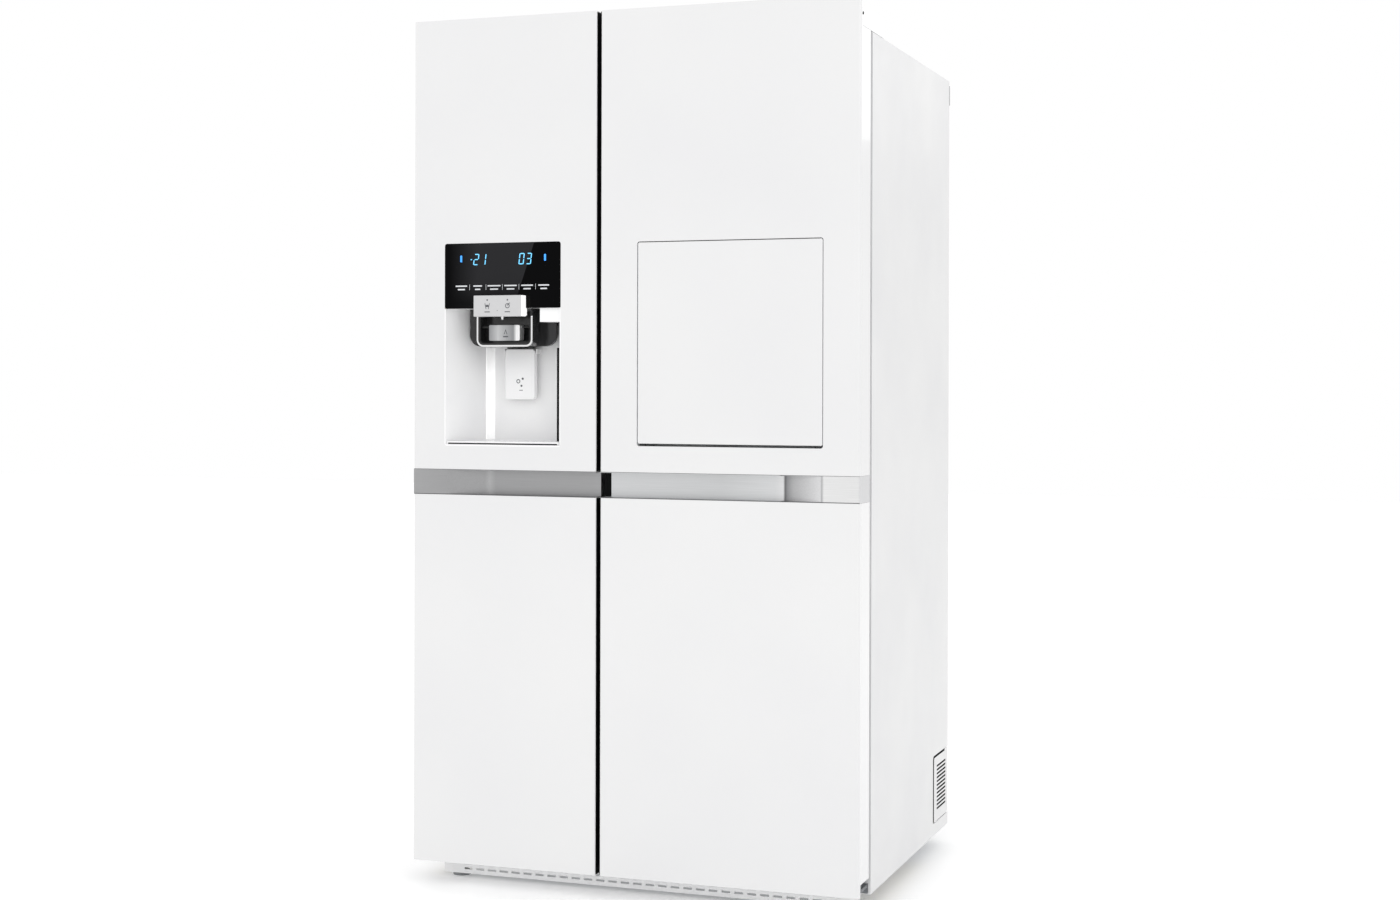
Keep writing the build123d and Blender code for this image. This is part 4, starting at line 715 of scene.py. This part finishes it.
def buildRecess():
    look = recessLook
    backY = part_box("dispenser_housing")[1][1] - look["backMm"] * mm
    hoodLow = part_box("chute_hood")[0][2]
    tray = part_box("drip_tray")
    trayTop = tray[1][2]
    radius = look["cornerMm"] * mm
    # painted highlight: a glowing strip bent round the recess's left corner
    centre = (dispenserMiddle - look["leftMm"] * mm, backY - radius)
    inner = radius - (look["insetMm"] + look["highlightThickMm"]) * mm
    outer = radius - look["insetMm"] * mm
    steps = look["steps"]
    arc = [math.radians(90 + look["turn"] * step / steps) for step in range(steps + 1)]
    plan = [(centre[0] + outer * math.cos(a), centre[1] + outer * math.sin(a)) for a in arc]
    plan += [(centre[0] + inner * math.cos(a), centre[1] + inner * math.sin(a)) for a in reversed(arc)]
    bm = bmesh.new()
    lower = [bm.verts.new((x, y, trayTop + look["footMm"] * mm)) for x, y in plan]
    upper = [bm.verts.new((x, y, hoodLow - look["headMm"] * mm)) for x, y in plan]
    for i in range(steps):
        a, b, c, d = i, i + 1, len(plan) - 2 - i, len(plan) - 1 - i
        bm.faces.new((lower[a], lower[b], upper[b], upper[a]))
        bm.faces.new((lower[c], lower[d], upper[d], upper[c]))
        bm.faces.new((lower[a], lower[d], lower[c], lower[b]))
        bm.faces.new((upper[a], upper[b], upper[c], upper[d]))
    cornerHighlightStrip = finishMesh(bm, "recessCornerHighlight", "freezer_door", cornerHighlightGlow)
    cornerHighlightStrip.data.shade_smooth()

    # painted shadow: a black strip down the recess's right corner
    shadowY = [frontY + depth * mm for depth in look["shadowDepthMm"]]
    cheek = dispenserMiddle + (look["mouthMm"] - look["cheekLean"] * sum(look["shadowDepthMm"]) / 2) * mm
    x0, x1 = [cheek + across * mm for across in look["shadowAcrossMm"]]
    z0, z1 = trayTop + look["footMm"] * mm, hoodLow - look["shadowHeadMm"] * mm
    boxPiece("cheekShadowStrip", "freezer_door", shadowAndTrimBlack, [((x0, shadowY[0], z0), (x1, shadowY[1], z1))])
    # painted shadow: a black strip under the drip tray's lip
    low = sink(tray[0], look["trayShadow"][0])
    high = sink((tray[1][0], tray[0][1], tray[0][2]), look["trayShadow"][1])
    boxPiece("trayLipShadow", "drip_drawer", shadowAndTrimBlack, [(low, high)])
    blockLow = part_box("selector_block")[0][2]
    bm = bmesh.new()
    spot = Matrix.Translation(sink((dispenserMiddle, frontY, blockLow), look["nozzleMm"]))
    tip, root = [r * mm for r in look["nozzleRadiusMm"]]
    depth = look["nozzleLengthMm"] * mm
    bmesh.ops.create_cone(bm, cap_ends=True, segments=20, radius1=tip, radius2=root, depth=depth, matrix=spot)
    finishMesh(bm, "waterNozzle", "freezer_door", looks["white_abs"])
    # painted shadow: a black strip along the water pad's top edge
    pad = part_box("water_lever")
    low = sink((pad[0][0], pad[0][1], pad[1][2]), look["padShadow"][0])
    high = sink(pad[1], look["padShadow"][1])
    boxPiece("padTopShadow", "freezer_door", shadowAndTrimBlack, [(low, high)])


# painted shadow line round the vent, dark louvre inserts and mesh, hinge pin plug
ventLook = {
    "shadowFrontMm": 15.0, "shadowTopMm": 5.0, "edgeMm": 1.6, "cornerMm": 8.0, "steps": 6, "shortMm": 30.0,
    "shadowDepthMm": (-0.4, 0.3), "meshMm": ((-1.0, 30.0, 12.0), (-0.2, -6.0, -12.0)),
    "pitchMm": 8.2, "slotMm": 4.2, "lengthMm": 81.3, "rows": 12, "backMm": 9.7, "insertMm": (-0.9, -0.3),
}
flangeLook = {"insetMm": 2.0, "insideMm": (-1.2, -0.4), "dropMm": (-18.0, -0.8)}
plugLook = {"placeMm": (0.6, 6.0, 22.0), "radiusMm": 2.6, "lengthMm": 1.6}


def buildVent():
    look = ventLook
    low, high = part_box("side_vent")
    face = high[0]
    edge, radius = look["edgeMm"] * mm, look["cornerMm"] * mm
    frontEdge, topEdge = low[1] + edge, high[2] - edge
    path = [(frontEdge, low[2] + radius)]
    for step in range(look["steps"] + 1):
        angle = math.radians(180 - 90 * step / look["steps"])
        y = frontEdge + radius + radius * math.cos(angle)
        path.append((y, topEdge - radius + radius * math.sin(angle)))
    path.append((high[1] - look["shortMm"] * mm, topEdge))
    # painted shadow: a black line round the vent plate's front and top edges
    shadowBack, shadowFront = [face + depth * mm for depth in look["shadowDepthMm"]]
    bm = bmesh.new()
    for (ay, az), (by, bz) in zip(path, path[1:]):
        run = Vector((by - ay, bz - az)).normalized()
        # the painted shadow line is drawn wider on the upright edge, where the plate steps back from the side
        # sheet
        run *= (look["shadowTopMm"] + (look["shadowFrontMm"] - look["shadowTopMm"]) * abs(run[1])) * mm / 2
        offset = Vector((-run[1], run[0]))
        start, end = Vector((ay, az)) - run, Vector((by, bz)) + run
        quad = [start + offset, end + offset, end - offset, start - offset]
        inner = [bm.verts.new((shadowBack, y, z)) for y, z in quad]
        outer = [bm.verts.new((shadowFront, y, z)) for y, z in quad]
        bm.faces.new(inner)
        bm.faces.new(list(reversed(outer)))
        for i in range(4):
            bm.faces.new((inner[(i + 1) % 4], inner[i], outer[i], outer[(i + 1) % 4]))
    finishMesh(bm, "ventShadowLine", "cabinet", shadowAndTrimBlack)
    mesh = (sink(low, look["meshMm"][0]), sink((low[0], high[1], high[2]), look["meshMm"][1]))
    boxPiece("ventMesh", "cabinet", shadowAndTrimBlack, [mesh])
    middleY = (low[1] + high[1]) / 2 + look["backMm"] * mm
    middleZ = (low[2] + high[2]) / 2
    reach, half = look["lengthMm"] / 2 * mm, look["slotMm"] / 2 * mm
    x0, x1 = [face + depth * mm for depth in look["insertMm"]]
    inserts = []
    for row in range(look["rows"]):
        z = middleZ + (row - (look["rows"] - 1) / 2) * look["pitchMm"] * mm
        inserts.append(((x0, middleY - reach, z - half), (x1, middleY + reach, z + half)))
    boxPiece("ventLouvres", "cabinet", shadowAndTrimBlack, inserts)


def buildCabinetDetails():
    # folded flange of the rear panel, which closes the insulation at the top
    shell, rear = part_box("cabinet_shell"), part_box("rear_panel")
    inset = flangeLook["insetMm"] * mm
    y0, y1 = [shell[1][1] + depth * mm for depth in flangeLook["insideMm"]]
    z0, z1 = [shell[1][2] + drop * mm for drop in flangeLook["dropMm"]]
    flange = ((rear[0][0] + inset, y0, z0), (rear[1][0] - inset, y1, z1))
    boxPiece("rearFlange", "cabinet", looks["galvanised"], [flange])
    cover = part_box("hinge_covers")
    corner = (cover[1][0], cover[0][1], cover[0][2])
    spot = Matrix.Translation(sink(corner, plugLook["placeMm"])) @ Matrix.Rotation(math.radians(90), 4, "Y")
    radius, depth = plugLook["radiusMm"] * mm, plugLook["lengthMm"] * mm
    bm = bmesh.new()
    shape = {"segments": 20, "radius1": radius, "radius2": radius, "depth": depth}
    bmesh.ops.create_cone(bm, cap_ends=True, matrix=spot, **shape)
    finishMesh(bm, "hingePlug", "cabinet", shadowAndTrimBlack)


# folded lips on shelves and bins, set from each room's own box
# each lip: its low corner from the room's low or high corner and its high corner, in mm
trimLook = {
    "shelf": ((-9.0, -14.5, -7.5), (9.0, -2.5, 1.5)), "bin": ((-3.4, 1.2, -7.5), (3.4, 4.2, 0.5)),
    "shelfBevelMm": 1.5, "binBevelMm": 0.8,
}


def buildInterior():
    rooms = {row["name"]: row["box_m"] for row in frame["record"]["physics"]["openings"]}
    lips, rims = [], {"freezer_door": [], "fridge_door": []}
    for name, (low, high) in rooms.items():
        if "_shelf_" in name:
            ends = (low, (high[0], low[1], low[2]))
            lips.append([sink(end, step) for end, step in zip(ends, trimLook["shelf"])])
        if "_bin_" in name:
            ends = ((low[0], high[1], high[2]), high)
            body = name.split("_bin_")[0] + "_door"
            rims[body].append([sink(end, step) for end, step in zip(ends, trimLook["bin"])])
    boxPiece("shelfLips", "cabinet", looks["white_abs"], lips, trimLook["shelfBevelMm"])
    for body, boxes in rims.items():
        name = body.split("_")[0] + "BinRims"
        boxPiece(name, body, looks["silver_trim"], boxes, trimLook["binBevelMm"])


buildDoorEdges()
buildRecess()
buildVent()
buildCabinetDetails()
buildInterior()
print("trims and seals added")


# a white tent with three soft boxes over a pale floor
studio = {
    "sky": 0.93, "floorHex": "#FCFCFC", "floorShade": "#F8F8F8", "floorGlow": 0.19,
    "floorSize": 14, "cloudMm": 40,
    "lamps": (
        ("keySoftbox", (2.4, -3.4, 3.0), 2.2, 20.0),
        ("fillSoftbox", (-3.0, -2.6, 2.4), 2.4, 8.0),
        ("rearSoftbox", (1.6, 3.2, 3.0), 2.4, 8.0),
    ),
    "aim": (0, 0, 0.9),
}


def buildStudio():
    world = bpy.data.worlds.new("studio")
    bpy.context.scene.world = world
    world.use_nodes = True
    tree = world.node_tree
    background = tree.nodes["Background"]
    # a white tent all round, seen by the camera as plain white paper
    rays = addNode(tree, "ShaderNodeLightPath")
    seen = addNode(tree, "ShaderNodeMix", {2: studio["sky"], 3: 1.0}, {0: rays.outputs["Is Camera Ray"]})
    tree.links.new(seen.outputs[0], background.inputs["Strength"])
    background.inputs["Color"].default_value = (1, 1, 1, 1)

    floorMaterial, tree, shader = newMaterial("paleStudioFloor", studio["floorHex"], Roughness=0.6)
    cloud = remap(tree, noiseOf(tree, place(tree), studio["cloudMm"], 2), 0, 1)
    tree.links.new(tint(tree, cloud, studio["floorHex"], studio["floorShade"]), shader.inputs["Base Color"])
    shader.inputs["Emission Color"].default_value = hexToLinear(studio["floorHex"])
    shader.inputs["Emission Strength"].default_value = studio["floorGlow"]
    bm = bmesh.new()
    bmesh.ops.create_grid(bm, x_segments=2, y_segments=2, size=studio["floorSize"])
    mesh = bpy.data.meshes.new("studioFloor")
    bm.to_mesh(mesh)
    bm.free()
    floor = bpy.data.objects.new("studioFloor", mesh)
    mesh.materials.append(floorMaterial)
    bpy.context.scene.collection.objects.link(floor)

    for name, spot, size, power in studio["lamps"]:
        data = bpy.data.lights.new(name, "AREA")
        data.shape = "SQUARE"
        data.size = size
        data.energy = power
        lamp = bpy.data.objects.new(name, data)
        lamp.location = spot
        lamp.rotation_euler = (Vector(studio["aim"]) - Vector(spot)).to_track_quat("-Z", "Y").to_euler()
        bpy.context.scene.collection.objects.link(lamp)


# from the right of the front and a little below mid height, on a short telephoto lens
shot = {
    "place": (1.4171, -3.9431, 0.9917), "yaw": 19.553, "pitch": -0.075, "roll": -0.142,
    "lensMm": 52.0, "sensorMm": 36.0, "shiftY": -0.0457, "clipEnd": 60,
}


def buildCamera():
    data = bpy.data.cameras.new("camera")
    data.lens = shot["lensMm"]
    data.sensor_width = shot["sensorMm"]
    data.shift_y = shot["shiftY"]
    data.clip_end = shot["clipEnd"]
    camera = bpy.data.objects.new("camera", data)
    camera.location = shot["place"]
    camera.rotation_euler = [math.radians(a) for a in (90 + shot["pitch"], shot["roll"], shot["yaw"])]
    bpy.context.scene.collection.objects.link(camera)
    bpy.context.scene.camera = camera


buildStudio()
buildCamera()
bpy.context.scene.view_settings.view_transform = "Standard"
print("studio and camera ready")
